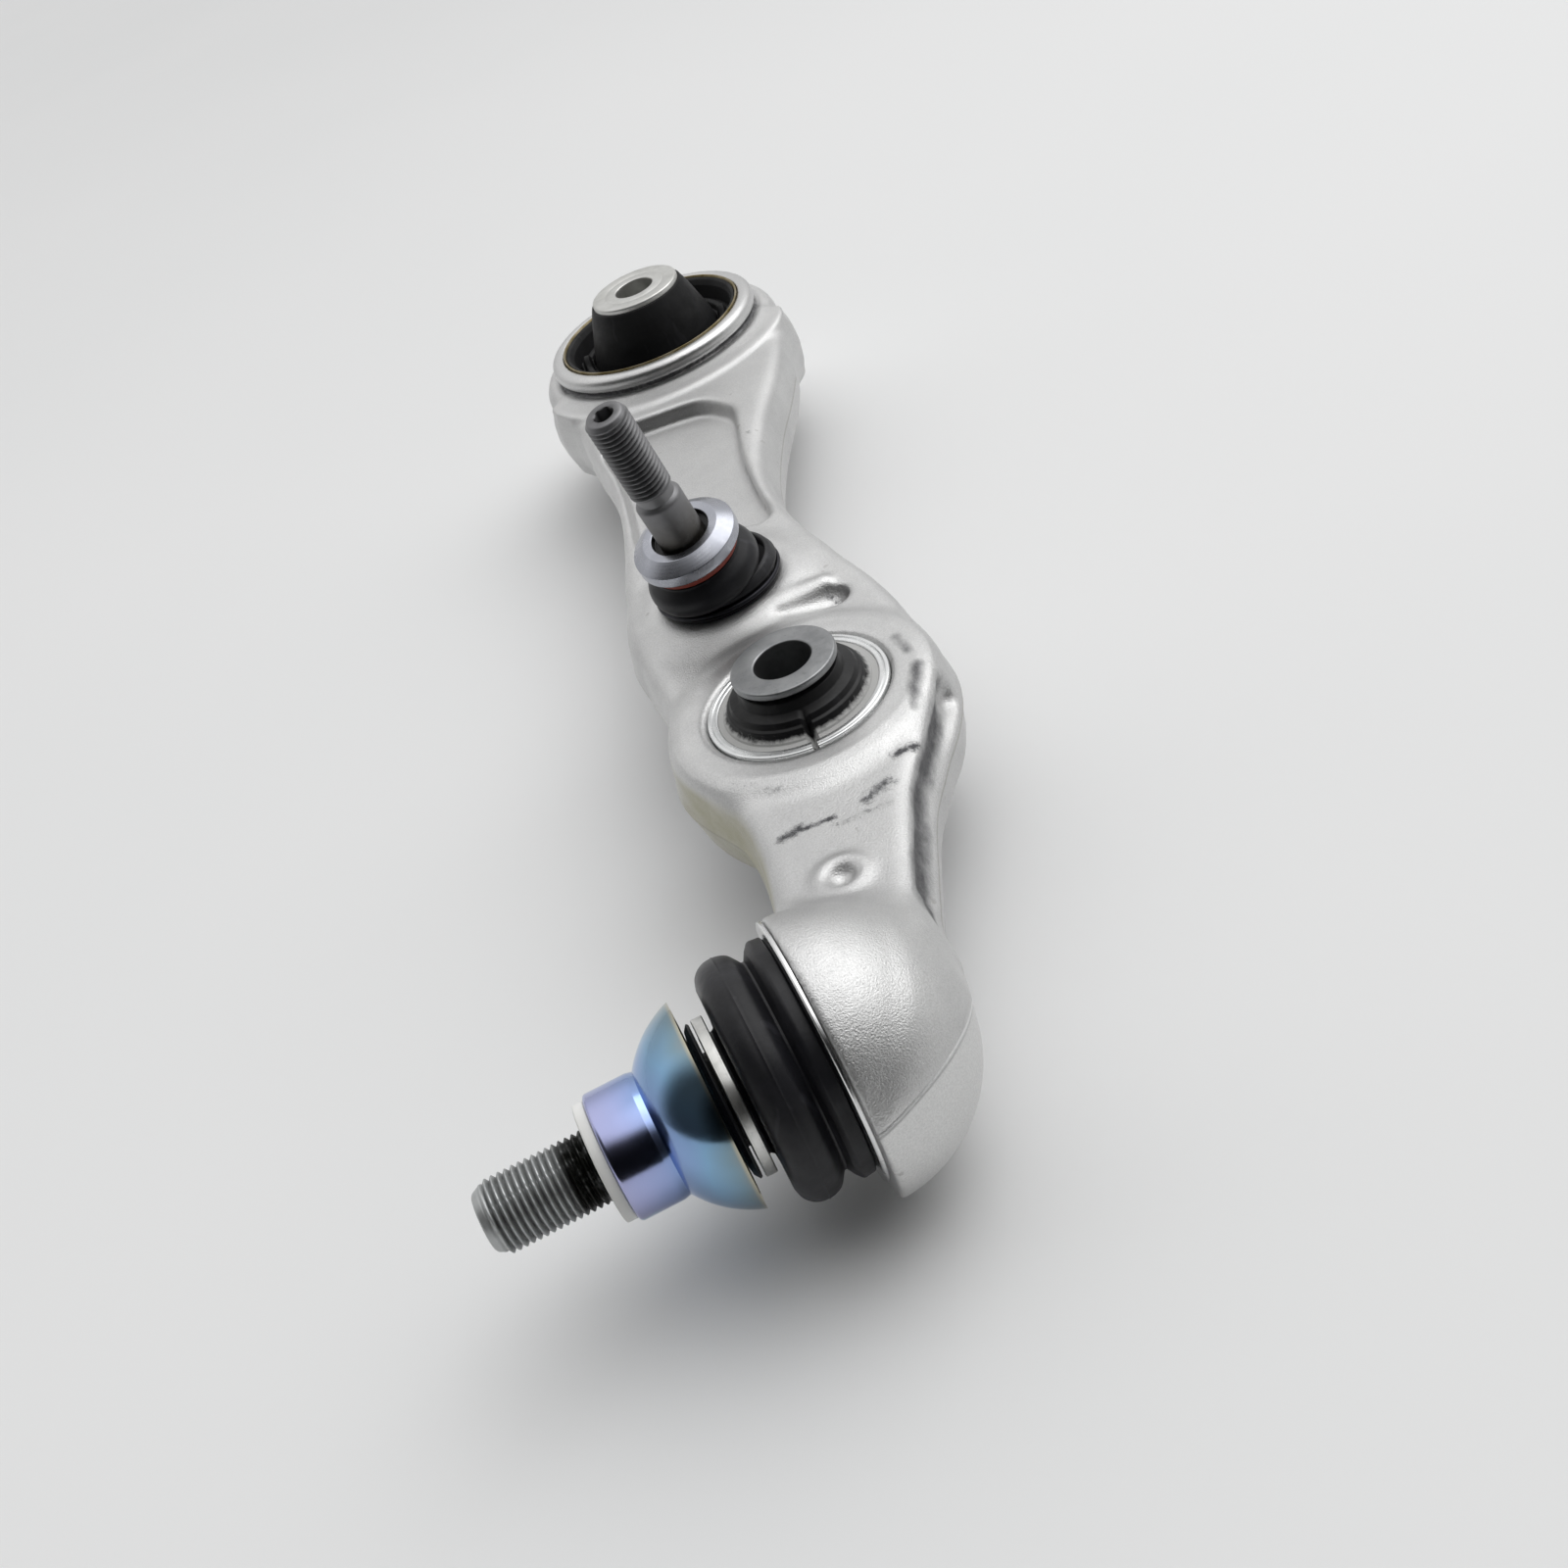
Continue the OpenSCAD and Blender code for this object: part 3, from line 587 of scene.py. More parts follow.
FINE_VOXEL, QUICK_VOXEL = 0.7, 1.1
VOXEL = FINE_VOXEL
LOW = np.array((-50.0, -396.0, -36.0))
HIGH = np.array((50.0, 50.0, 34.0))
COUNT = np.ceil((HIGH - LOW) / VOXEL).astype(int)
GX, GY, GZ = (LOW[i] + VOXEL * np.arange(COUNT[i]) for i in range(3))
FAR = 20.0
field = np.full(tuple(COUNT), FAR, np.float32)


def smooth_min(a, b, k):
    """The smaller of two distances, rounded where they meet over a width of k."""
    if k <= 0:
        return np.minimum(a, b)
    h = np.clip(0.5 + 0.5 * (b - a) / k, 0, 1)
    return b + (a - b) * h - k * h * (1 - h)


def smooth_max(a, b, k):
    """The larger of two distances, rounded in the same way."""
    return -smooth_min(-a, -b, k)


def window(low, high):
    """The part of the grid between two corners, with open coordinate arrays for it."""
    parts, coords = [], []
    for values, lo, hi in zip((GX, GY, GZ), low, high):
        a, b = np.searchsorted(values, (lo, hi))
        parts.append(slice(max(a, 0), max(b, 1)))
        coords.append(values[parts[-1]].astype(np.float32))
    x, y, z = coords
    return tuple(parts), x[:, None, None], y[None, :, None], z[None, None, :]


def join(shape, low, high, k):
    """Adds a shape to the field between two corners."""
    part, x, y, z = window(low, high)
    field[part] = smooth_min(field[part], shape(x, y, z), k)


def cut(shape, low, high, k):
    """Takes a shape out of the field between two corners."""
    part, x, y, z = window(low, high)
    field[part] = smooth_max(field[part], -shape(x, y, z), k)


def outline_distance(px, py, points):
    """Signed distance to a closed outline, negative inside."""
    pts = np.asarray(points, np.float32)
    best = np.full(np.broadcast(px, py).shape, 1e9, np.float32)
    sign = np.ones_like(best)
    for i in range(len(pts)):
        ax, ay = pts[i]
        bx, by = pts[i - 1]
        ex, ey = bx - ax, by - ay
        wx, wy = px - ax, py - ay
        t = np.clip((wx * ex + wy * ey) / (ex * ex + ey * ey + 1e-12), 0, 1)
        best = np.minimum(best, (wx - ex * t) ** 2 + (wy - ey * t) ** 2)
        above, below = py >= ay, py < by
        left = ex * wy > ey * wx
        flip = (above & below & left) | (~above & ~below & ~left)
        sign = np.where(flip, -sign, sign)
    return sign * np.sqrt(best)


def spline(points, steps=5):
    """A smooth closed outline through the points."""
    pts = np.asarray(points, float)
    out = []
    for i in range(len(pts)):
        out += between(*(pts[(i + k) % len(pts)] for k in (-1, 0, 1, 2)), steps)
    return np.array(out)


def turned(outline, centre=(0.0, 0.0)):
    """Distance to an outline of (r, z) turned round a vertical axis."""
    def shape(x, y, z):
        r = np.sqrt((x - centre[0]) ** 2 + (y - centre[1]) ** 2)
        return outline_distance(r, z, outline)
    return shape


def sphere(centre, radius):
    def shape(x, y, z):
        return np.sqrt((x - centre[0]) ** 2 + (y - centre[1]) ** 2
                       + (z - centre[2]) ** 2) - radius
    return shape


def capsule(a, b, radius):
    """Distance to a capsule from a to b; radius may be a pair, for a taper."""
    ra, rb = radius if isinstance(radius, tuple) else (radius, radius)
    e = np.subtract(b, a)

    def shape(x, y, z):
        wx, wy, wz = x - a[0], y - a[1], z - a[2]
        t = np.clip((wx * e[0] + wy * e[1] + wz * e[2]) / float(e @ e), 0, 1)
        away = np.sqrt((wx - e[0] * t) ** 2 + (wy - e[1] * t) ** 2 + (wz - e[2] * t) ** 2)
        return away - (ra + (rb - ra) * t)
    return shape


def local(place, x, y, z):
    """Height along a place's axis and distance from it."""
    axis = place.to_3x3().col[2]
    o = place.translation
    dx, dy, dz = x - o.x, y - o.y, z - o.z
    s = dx * axis.x + dy * axis.y + dz * axis.z
    return s, np.sqrt(np.maximum(dx * dx + dy * dy + dz * dz - s * s, 0))


def station(a, b, share, left, right, half):
    """A cross-section of the web: (y, left x, right x, half thickness)."""
    x, y = (a[i] + (b[i] - a[i]) * share for i in (0, 1))
    return y, x - left, x + right, half


STATIONS = np.array([
    station(EYE, PIN, 0.06, 40.4, 41.8, 11.0),
    station(EYE, PIN, 0.21, 35.9, 43.0, 11.4),
    station(EYE, PIN, 0.34, 32.4, 37.9, 12.0),
    station(EYE, PIN, 0.48, 28.0, 30.0, 12.5),
    station(EYE, PIN, 0.62, 27.1, 24.4, 12.5),
    station(EYE, PIN, 0.73, 28.0, 23.0, 12.5),
    station(EYE, PIN, 0.85, 29.8, 26.2, 12.5),
    station(PIN, STRUT, 0.0, 30.4, 34.4, 12.0),
    station(PIN, STRUT, 0.3, 31.6, 37.4, 11.5),
    station(PIN, STRUT, 0.6, 31.1, 38.4, 11.0),
    station(STRUT, MOUTH, 0.0, 34.7, 36.3, 11.5),
    station(STRUT, MOUTH, 0.19, 24.9, 36.7, 11.5),
    station(STRUT, MOUTH, 0.34, 17.0, 33.0, 12.0),
    station(STRUT, MOUTH, 0.47, 12.7, 29.3, 12.0),
    station(STRUT, MOUTH, 0.64, 9.3, 28.2, 12.5),
    station(STRUT, MOUTH, 0.81, 6.5, 27.5, 13.0),
    station(STRUT, MOUTH, 0.94, 1.1, 26.0, 13.0),
])


def web(x, y, z):
    """The web: a drafted plate with rounded edges and a trimmed flash line on its parting plane."""
    left = [(s[1], s[0]) for s in STATIONS]
    right = [(s[2], s[0]) for s in STATIONS[::-1]]
    plan = outline_distance(x[:, :, 0], y[:, :, 0], spline(left + right, 4))
    half = np.interp(-y[0, :, 0], -STATIONS[:, 0], STATIONS[:, 3]).astype(np.float32)
    flank = plan[:, :, None] + 0.11 * np.abs(z) - 0.7 * np.exp(-(z / 1.1) ** 2) * (
        y < EYE[1] - 50)
    return smooth_max(flank, np.abs(z) - half[None, :, None], 5.5)


def build_arm():
    """Fills the field: the web, the bosses and the housing, then what is cut from them."""
    join(web, (-50, -370, -24), (50, 20, 24), 0)
    eye = mirrored([(0, EYE_TOP), (36.6, EYE_TOP), (38.4, 18.4), (38.9, 15.6), (37.2, 13.8),
                    (37.4, 12.4), (39.2, 12.4), (40.6, 12.9), (42.8, 11.6), (44.4, 8.6),
                    (44.8, 3.0), (44.8, 0.0)])
    join(turned(eye), (-50, -50, -24), (50, 50, 24), 4.0)

    def shoulder(x, y, z):
        """A low step round the eye on the arm's side, inside the web's outline."""
        r = np.sqrt(x * x + y * y)
        disc = smooth_max(r - 50.5, np.abs(z) - 12.6, 2.2)
        return np.maximum(disc, web(x, y, z * 0.0) + 2.0)
    join(shoulder, (-50, -60, -24), (50, -10, 24), 1.2)
    boss = mirrored([(0, BOSS_TOP), (31.0, BOSS_TOP), (33.9, 12.5), (34.9, 10.6), (36.3, 4.0),
                     (36.6, 1.4), (37.3, 0.7), (37.3, 0.0)])
    join(turned(boss, STRUT), (-50, -300, -24), (50, -205, 24), 6.0)
    pin_boss = [(0, 14.0), (20.5, 14.0), (22.6, 13.2), (25.5, 10.8), (29.0, 7.4), (30.4, 3.5),
                (31.0, 0.0), (30.2, -3.5), (27.5, -10.0), (24.0, -13.5), (21.0, -14.5), (0, -14.5)]
    join(turned(pin_boss, PIN), (-50, -228, -24), (30, -145, 24), 5.0)
    lower_collar = [(0, -12), (19.5, -12), (19.5, -14.5), (0, -14.5)]
    join(turned(lower_collar, PIN), (-50, -228, -24), (30, -145, 0), 2.0)

    def dome(x, y, z):
        """The housing: a ball with a low bulge on its arm side and a step below the flash line."""
        s, _ = local(AT_JOINT, x, y, z)
        ball = sphere(DOME, HOUSING_R)(x, y, z)
        fold = (x - DOME[0]) * -0.64 + (z - DOME[2]) * 0.768
        ball = ball - 0.45 * np.clip((5.6 - fold) / 4.0, 0, 1)
        o, up = FLASH_AT, FLASH_UP
        lift = (x - o.x) * up.x + (y - o.y) * up.y + (z - o.z) * up.z
        front = np.clip((-352.0 - y) / 8.0, 0, 1)
        ball = ball + 0.75 * front * np.clip((0.5 - lift) / 1.3, 0, 1)
        return smooth_max(ball, s, 0.9)

    part, x, y, z = window((-50, -396, -36), (50, -300, 34))
    s, _ = local(AT_JOINT, x, y, z)
    ball = dome(x, y, z)
    behind = np.clip(-s / 9.0, 0, 1)
    grown = smooth_min(field[part], ball, 9.0)
    plain = np.minimum(field[part], ball)
    field[part] = smooth_max(plain + (grown - plain) * behind, s, 0.5)

    # dimple: a low cone with a crater
    crater = [(0, 8.0), (8.6, 8.0), (8.0, 11.4), (6.6, 13.2), (5.2, 13.8), (3.6, 13.0), (0, 11.0)]
    join(turned(crater, DIMPLE), (-32, -340, 4), (0, -306, 24), 1.8)
    cut(sphere((*DIMPLE, 14.4), 3.6), (-32, -340, 4), (0, -306, 24), 0.8)

    # pockets between the rims of the far web, and the dip between the two middle bosses
    right = [(8.4, -70.0), (11.0, -78.0), (9.4, -92.0), (7.4, -106.0), (6.4, -122.0),
             (6.2, -138.0), (6.8, -151.0)]
    ends = [(3.4, -157.0), (-8.0, -150.0), (-24.0, -150.0)]
    left = [(-31.0, -140.0), (-31.0, -124.0), (-30.0, -104.0), (-30.5, -84.0), (-31.5, -68.0)]
    near = [(-26.0, -56.0), (-12.0, -57.5), (2.0, -61.5)]
    floor_outline = spline(right + ends + left + near, 4)
    for side in (1, -1):
        def pocket(x, y, z):
            plan = outline_distance(x[:, :, 0], y[:, :, 0], floor_outline)[:, :, None]
            up = z * side
            return smooth_max(plan - 0.20 * (up - POCKET_FLOOR), POCKET_FLOOR + 1.0 - up, 1.8)
        zs = (0, 24) if side > 0 else (-24, 0)
        cut(pocket, (-50, -175, zs[0]), (50, -40, zs[1]), 1.6)
        ridge = capsule((-9.0, -204.6, side * 10.2), (11.5, -203.6, side * 10.8), (3.0, 2.4))
        join(ridge, (-18, -218, zs[0]), (24, -194, zs[1]), 2.4)
        dip = capsule((-2.0, -210.6, side * 13.6), (11.8, -211.4, side * 12.6), (2.6, 5.0))
        cut(dip, (-20, -228, zs[0]), (30, -195, zs[1]), 0.9)

    # the step along the neck's right flank; arm_masks darkens its groove
    def step(x, y, z):
        path_x = np.interp(-y[0, :, 0], -STATIONS[:, 0], STATIONS[:, 2])[None, :, None] + 0.2
        ends_at = smooth_max(y - (STRUT[1] - 12), (MOUTH[1] + 22) - y, 4.0)
        groove = np.sqrt((x - path_x) ** 2 + ((z - 6.6) * 0.72) ** 2) - 3.2
        return smooth_max(groove, ends_at, 4.0)
    cut(step, (-30, -345, -4), (50, -255, 20), 1.6)

    # bores and seats
    cut(turned([(0, 30), (BUSH_R, 30), (BUSH_R, -30), (0, -30)]), (-38, -38, -24), (38, 38, 24), 0)
    shell = [(0, 20), (SHELL_R + 3.2, 20), (SHELL_R + 1.0, BOSS_TOP + 0.2),
             (SHELL_R, BOSS_TOP - 0.9), (SHELL_R, 0)]
    cut(turned(mirrored(shell), STRUT), (-36, -281, -24), (20, -224, 24), 0)
    seat = [(0, 9.0), (10.2, 8.2), (13.5, 16.0), (0, 16.0)]
    cut(turned(seat, PIN), (-30, -203, 0), (2, -170, 24), 0)
    cut(turned([(0, 8.2), (PIN_SEAT_R, 8.2), (PIN_SEAT_R, -16), (0, -16)], PIN),
        (-32, -204, -24), (4, -169, 10), 0)

    def ball_seat(x, y, z):
        s, r = local(AT_JOINT, x, y, z)
        bowl = np.sqrt(r * r + (s + 9.0) ** 2) - 19.0
        tube = np.maximum(r - 19.0, -9.0 - s)
        ring = np.maximum(r - 23.0, -1.5 - s)
        return np.minimum(np.minimum(bowl, tube), ring)
    cut(ball_seat, (-50, -386, -26), (0, -328, 28), 0)


def near_segment(p, a, b, width):
    """1 on the segment from a to b, falling smoothly to 0 at width from it."""
    a, b = np.array(a, float), np.array(b, float)
    e = b - a
    t = np.clip(((p - a) @ e) / (e @ e), 0, 1)
    d = np.linalg.norm(p - a - t[:, None] * e, axis=1)
    return np.clip(1 - d / width, 0, 1)


def drawn(p, marks):
    """The strongest of several marks, each (from, to, width, strength)."""
    return np.max([strength * near_segment(p, a, b, width) for a, b, width, strength in marks],
                  axis=0)


def arm_masks(p, normal):
    """Where the forging is machined, darkened, scuffed or tinted with a painted olive reflection,
    and its two mould lines; the darkening holds painted shade in the eye's groove, on a pocket wall
    and along the middle web's right edge.
    """
    x, y, z = p.T
    r_strut = np.hypot(x - STRUT[0], y - STRUT[1])
    r_eye = np.hypot(x, y)
    flat = np.clip((normal[:, 2] - 0.9) / 0.08, 0, 1)
    machined = np.clip((31.5 - r_strut) / 1.5, 0, 1) * flat * (np.abs(z) > BOSS_TOP - 1)
    machined = np.maximum(machined, (r_eye < 38.8) * (np.abs(z) > 12.5) * 0.8)
    path_x = np.interp(-y, -STATIONS[:, 0], STATIONS[:, 2])
    groove = np.clip(1.25 - np.hypot(x - path_x + 1.4, (z - 6.8) * 0.9) / 4.4, 0, 1)
    groove *= np.clip((-y - 262) / 14, 0, 1) * np.clip((y + 356) / 16, 0, 1)
    # darkened along the step and in two streaks on the right flank by the strut boss; the third
    # streak is painted shade along the middle web's right edge
    dark_marks_and_shade = np.maximum(groove, drawn(p, (
        ((22.0, -262.0, 9.0), (17.0, -284.0, 7.0), 6.5, 0.95),
        ((24.5, -240.0, 8.5), (22.0, -262.0, 9.0), 5.0, 0.80),
        ((24.6, -190.0, 7.5), (26.0, -214.0, 7.0), 3.2, 0.62))))
    # painted shade in the groove between the eye's collar and its shoulder
    groove_shade = np.clip(1 - np.abs(r_eye - 37.9) / 1.8, 0, 1) * (np.abs(np.abs(z) - 13.4) < 1.6)
    dark_marks_and_shade = np.maximum(dark_marks_and_shade, 0.9 * groove_shade)
    # painted shade on the inner wall of the far pocket's right rim, on faces turned towards -X
    pocket_wall_shade = near_segment(p, (7.0, -72.0, 8.5), (6.5, -152.0, 8.5), 3.4) * (normal[:, 0] < -0.3)
    dark_marks_and_shade = np.maximum(dark_marks_and_shade, 0.52 * pocket_wall_shade)
    plan = p * (1.0, 1.0, 0.15)
    on_top = z > 4
    dark_marks_and_shade = np.maximum(dark_marks_and_shade, on_top * drawn(plan, (
        ((20.4, -247.0, 1.9), (21.2, -255.0, 1.9), 3.4, 0.66),
        ((21.6, -262.0, 1.9), (15.8, -277.0, 1.7), 3.6, 0.80))))
    scuffs = (((-24.7, -300.9, 1.9), (-12.0, -301.8, 1.9), 1.5, 1.0),
              ((-24.6, -301.4, 1.9), (-20.0, -300.4, 1.9), 2.6, 0.95),
              ((-3.1, -300.4, 1.9), (2.4, -298.0, 1.9), 3.6, 0.72),
              ((-12.0, -304.5, 1.9), (1.0, -305.5, 1.9), 2.6, 0.42),
              ((7.6, -289.6, 1.6), (11.4, -288.6, 1.6), 2.8, 1.0),
              ((11.2, -207.6, 1.6), (13.4, -212.6, 1.6), 2.4, 0.55),
              ((12.8, -100.6, 1.9), (13.2, -101.4, 1.9), 1.4, 0.8),
              ((-30.5, -276.5, 1.4), (-21.0, -285.5, 1.5), 2.0, 0.42))
    scuff = on_top * drawn(plan, scuffs)
    # painted reflection: olive tint on faces turned towards -X, below z = 11, between y = -245 and
    # -335
    side = np.clip(-normal[:, 0] * 2.4 - 0.5, 0, 1) * np.clip((11.0 - z) / 2.5, 0, 1)
    olive_reflection = side * np.clip((-y - 245) / 18, 0, 1) * np.clip((y + 335) / 20, 0, 1)
    on_dome = np.linalg.norm(p - DOME, axis=1) < HOUSING_R + 1.5
    flash = on_dome * np.clip((-352.0 - y) / 8.0, 0, 1)
    parting = np.clip((0.6 - np.abs(normal[:, 2])) / 0.3, 0, 1) * (y < EYE[1] - 50) * ~on_dome
    return {"machined": machined, "dark_marks_and_shade": dark_marks_and_shade, "scuff": scuff, "olive_reflection": olive_reflection, "flash": flash,
            "parting": parting}


def make_arm():
    build_arm()
    soft = field
    for axis in range(3):
        soft = (0.25 * np.roll(soft, 1, axis) + 0.5 * soft + 0.25 * np.roll(soft, -1, axis))
    grid = openvdb.FloatGrid(3.0)
    grid.copyFromArray(np.clip(soft / VOXEL, -3, 3).astype(np.float32))
    points, _, quads = grid.convertToPolygons(isovalue=0.0, adaptivity=0.0)
    points = points * VOXEL + LOW
    arm = keep_mesh("arm_forging_surface", points, quads.tolist(), Matrix.Identity(4),
                    forged_aluminium(), 180.0)
    mesh = arm.data
    normal = np.zeros(len(mesh.vertices) * 3, np.float32)
    mesh.vertices.foreach_get("normal", normal)
    add_masks(mesh, arm_masks(points, normal.reshape(-1, 3)))
    finish_piece(arm, "arm", "forged_aluminium", "arm_forging")


make_arm()

# ---- inner bush --------------------------------------------------------------

shell_brown = turned_metal("passivated_steel", AT_EYE, (0.24, 0.20, 0.12), 0.42, 0.08, 0.05)
outline = mirrored([(32.02, 18.4), (32.9, 19.9, 0.2), (33.48, 20.0, 0.2), (33.48, 0.0)])
piece = lathe("bush_shell_tube", outline + [(32.02, 0.0)], AT_EYE, shell_brown, 160)
finish_piece(piece, "arm", "passivated_steel", "bush_shell")


def bush_ribs(r, h, angle):
    """Moulded ridge breaks and tabs in the trench round the cone."""
    top = abs(h)
    if 24.0 < r < 28.5 and top > 10.0:
        tab = max(0.0, math.cos(4 * angle + 0.6) - 0.86) / 0.14
        h += math.copysign(2.6 * tab, h)
    return r, h


bush_black = rubber("bush_rubber", (0.0035, 0.0035, 0.0042), 0.60)
outline = mirrored([
    (16.05, 32.2), (16.8, 32.2, 0.5), (18.8, 27.6, 2.5), (22.6, 16.2, 2.0), (23.6, 12.2, 1.0),
    (24.4, 12.0, 0.5), (25.0, 14.0, 0.8), (27.0, 14.2, 0.8), (27.8, 11.6, 0.8), (29.0, 12.4, 1.0),
    (30.2, 17.4, 1.0), (31.3, 19.0, 0.5), (32.75, 19.8, 0.2), (31.98, 18.4), (31.98, 0.0)])
outline.append((16.05, 0.0))
piece = lathe("bush_rubber_body", outline, AT_EYE, bush_black, 160, warp=bush_ribs)
finish_piece(piece, "arm", "bush_rubber", "bush_rubber")

sleeve_grey = turned_metal("sleeve_alloy", AT_EYE, (0.56, 0.56, 0.54), 0.42, 0.07, 0.12, 0.3)
outline = mirrored([(7.0, 34.0, 0.5), (10.6, 34.0), (11.0, 33.85), (11.4, 34.0), (16.0, 34.0, 0.8),
                    (16.0, 0.0)]) + [(7.0, 0.0)]
piece = lathe("bush_sleeve_tube", outline, AT_EYE, sleeve_grey, 128)
finish_piece(piece, "inner_sleeve", "sleeve_alloy", "bush_inner_sleeve")

# ---- strut bush --------------------------------------------------------------

SLIT_AT, SLIT_HALF = -93.0, 1.8
shell_alloy = turned_metal("shell_alloy", AT_STRUT, (0.72, 0.73, 0.73), 0.28, 0.08, 0.16, 0.24)
outline = mirrored([(21.2, 13.9, 0.4), (22.4, 13.9), (22.7, 13.65), (23.0, 13.9), (24.0, 13.9, 0.6),
                    (24.0, 0.0)]) + [(21.2, 0.0)]
piece = lathe("strut_shell_tube", outline, AT_STRUT, shell_alloy, 160,
              arc=(SLIT_AT + SLIT_HALF, SLIT_AT + 360 - SLIT_HALF))
finish_piece(piece, "arm", "shell_alloy", "strut_shell")

strut_black = rubber("strut_rubber", (0.003, 0.003, 0.0035), 0.44, AT_STRUT, 19.6)
outline = mirrored([
    (11.55, 21.6), (13.2, 21.4, 0.5), (13.9, 18.8, 0.8), (16.4, 18.0, 0.5), (17.0, 16.6, 0.5),
    (17.9, 16.2, 0.6), (18.3, 14.9, 0.5), (19.4, 14.2, 0.4), (19.7, 13.7, 0.2), (21.18, 13.6, 0.1),
    (21.18, 0.0)]) + [(11.55, 0.0)]


def split_rubber(r, h, angle):
    """The rubber is split in line with the slit in its shell."""
    away = abs((math.degrees(angle) - SLIT_AT + 180) % 360 - 180)
    if h > 10 and r > 14:
        h -= max(0.0, 1 - away / 4.0) * min(r - 14, 5.0) * 0.6
    return r, h


piece = lathe("strut_rubber_body", outline, AT_STRUT, strut_black, 240, warp=split_rubber)
finish_piece(piece, "arm", "bush_rubber", "strut_rubber")

sleeve_steel = turned_metal("sleeve_steel", AT_STRUT, (0.27, 0.275, 0.28), 0.40, 0.05, 0.14, 0.22,
                            0.25)
outline = [(7.5, 25.0, 0.5), (13.75, 25.0, 0.6), (13.75, 23.0, 0.4), (11.5, 23.0, 0.3),
           (11.5, -25.0, 0.8), (7.5, -25.0, 0.5)]
piece = lathe("strut_sleeve_tube", outline, AT_STRUT, sleeve_steel, 144)
finish_piece(piece, "strut_sleeve", "sleeve_steel", "strut_sleeve")

# ---- main ball joint ---------------------------------------------------------

band_bright = turned_metal("bright_steel", AT_JOINT, (0.80, 0.80, 0.80), 0.22, 0.06, 0.10, 0.3)
piece = lathe("boot_band_ring", [(25.95, 0.0), (29.4, 0.0, 0.1), (29.4, 0.7, 0.2), (29.1, 1.0, 0.2),
                                 (25.95, 1.0, 0.3)], AT_JOINT, band_bright, 160)
finish_piece(piece, "arm", "bright_steel", "joint_boot_band")

SEAM = 12.4
boot_black = rubber("boot_rubber", (0.008, 0.008, 0.010), 0.40)
FOLD = [(23.4, 6.7), (23.5, 7.3), (24.6, 8.1), (26.0, 9.2), (26.8, 10.8), (27.05, SEAM),
        (26.9, 14.2), (26.1, 15.9), (24.6, 17.3), (22.4, 18.05)]
fold = open_curve(FOLD)
below = [point for point in fold if point[1] < SEAM - 0.01]
above = [point for point in fold if point[1] > SEAM + 0.01]
foot = ([(20.0, 0.5), (25.6, 0.5, 0.2), (25.6, 1.3, 0.2), (26.4, 1.7, 0.5), (26.7, 4.4, 0.9),
         (25.2, 5.7, 0.9)] + below
        + [(27.2, SEAM), (24.6, SEAM), (24.6, 11.0, 1.2), (21.2, 8.0, 1.0), (21.2, 6.2, 0.8),
           (22.6, 3.6, 0.8), (20.0, 2.0)])
neck = ([(24.6, SEAM), (27.2, SEAM)] + above
        + [(17.0, 18.05, 0.8), (14.1, 18.3, 0.5), (13.7, 18.9, 0.4), (13.7, 22.0),
           (10.9, 22.0), (10.9, 17.4), (21.6, 17.1, 0.8), (24.5, 14.7, 0.8)])


def wavy(r, h, angle):
    """Slight waviness of a moulded bellows."""
    if r > 22:
        r += 0.10 * math.sin(3 * angle + 0.7) + 0.05 * math.sin(11 * angle + 0.3 * h)
    return r, h


piece = lathe("boot_lower_fold", foot, AT_JOINT, boot_black, 192, warp=wavy, smooth_angle=60)
finish_boot(piece, "joint_boot")
piece = lathe("boot_upper_fold", neck, AT_JOINT, boot_black, 192, warp=wavy, smooth_angle=60)
finish_boot(piece, "joint_boot")

ring_satin = turned_metal("snap_ring_steel", AT_JOINT, (0.62, 0.62, 0.60), 0.34, 0.10, 0.10, 0.4,
                          0.2)
piece = lathe("snap_ring_clip", [(14.2, 19.3, 0.2), (17.6, 19.3, 0.3), (17.6, 21.9, 0.3),
                                 (14.2, 21.9, 0.2)], AT_JOINT, ring_satin, 144)
finish_piece(piece, "stud_ring", "bright_steel", "joint_snap_ring")

piece = lathe("lip_seal_ring", [(10.6, 22.7), (17.0, 22.5, 0.2), (17.4, 23.0, 0.2),
                                (16.0, 24.0, 0.4), (12.5, 24.6, 0.3), (10.6, 24.6)],
              AT_JOINT, boot_black, 144)
finish_piece(piece, "stud", "boot_rubber", "joint_lip_seal")

stud_zinc = zinc_thread("zinc_steel", AT_JOINT, 56.6, 76.0, 58.6, (0.40, 0.41, 0.41),
                        (0.012, 0.012, 0.010))
ball_rows = [(-9 - 16 * math.cos(a), 16 * math.sin(a))
             for a in np.linspace(0.36, math.pi - 0.56, 40)]
rows = ball_rows + [(11.0, 8.5), (14.0, 10.5), (24.99, 10.5), (25.0, 8.5), (46.3, 8.5),
                    (46.31, 7.4), (51.3, 7.4), (51.6, 8.0), (73.6, 8.0), (74.2, 7.5), (76.2, 6.4),
                    (76.5, 6.0)]
piece = threaded("ball_stud_bar", rows, AT_JOINT, stud_zinc, (51.2, 75.0), 1.5, 0.85)
finish_piece(piece, "stud", "zinc_steel", "ball_stud")

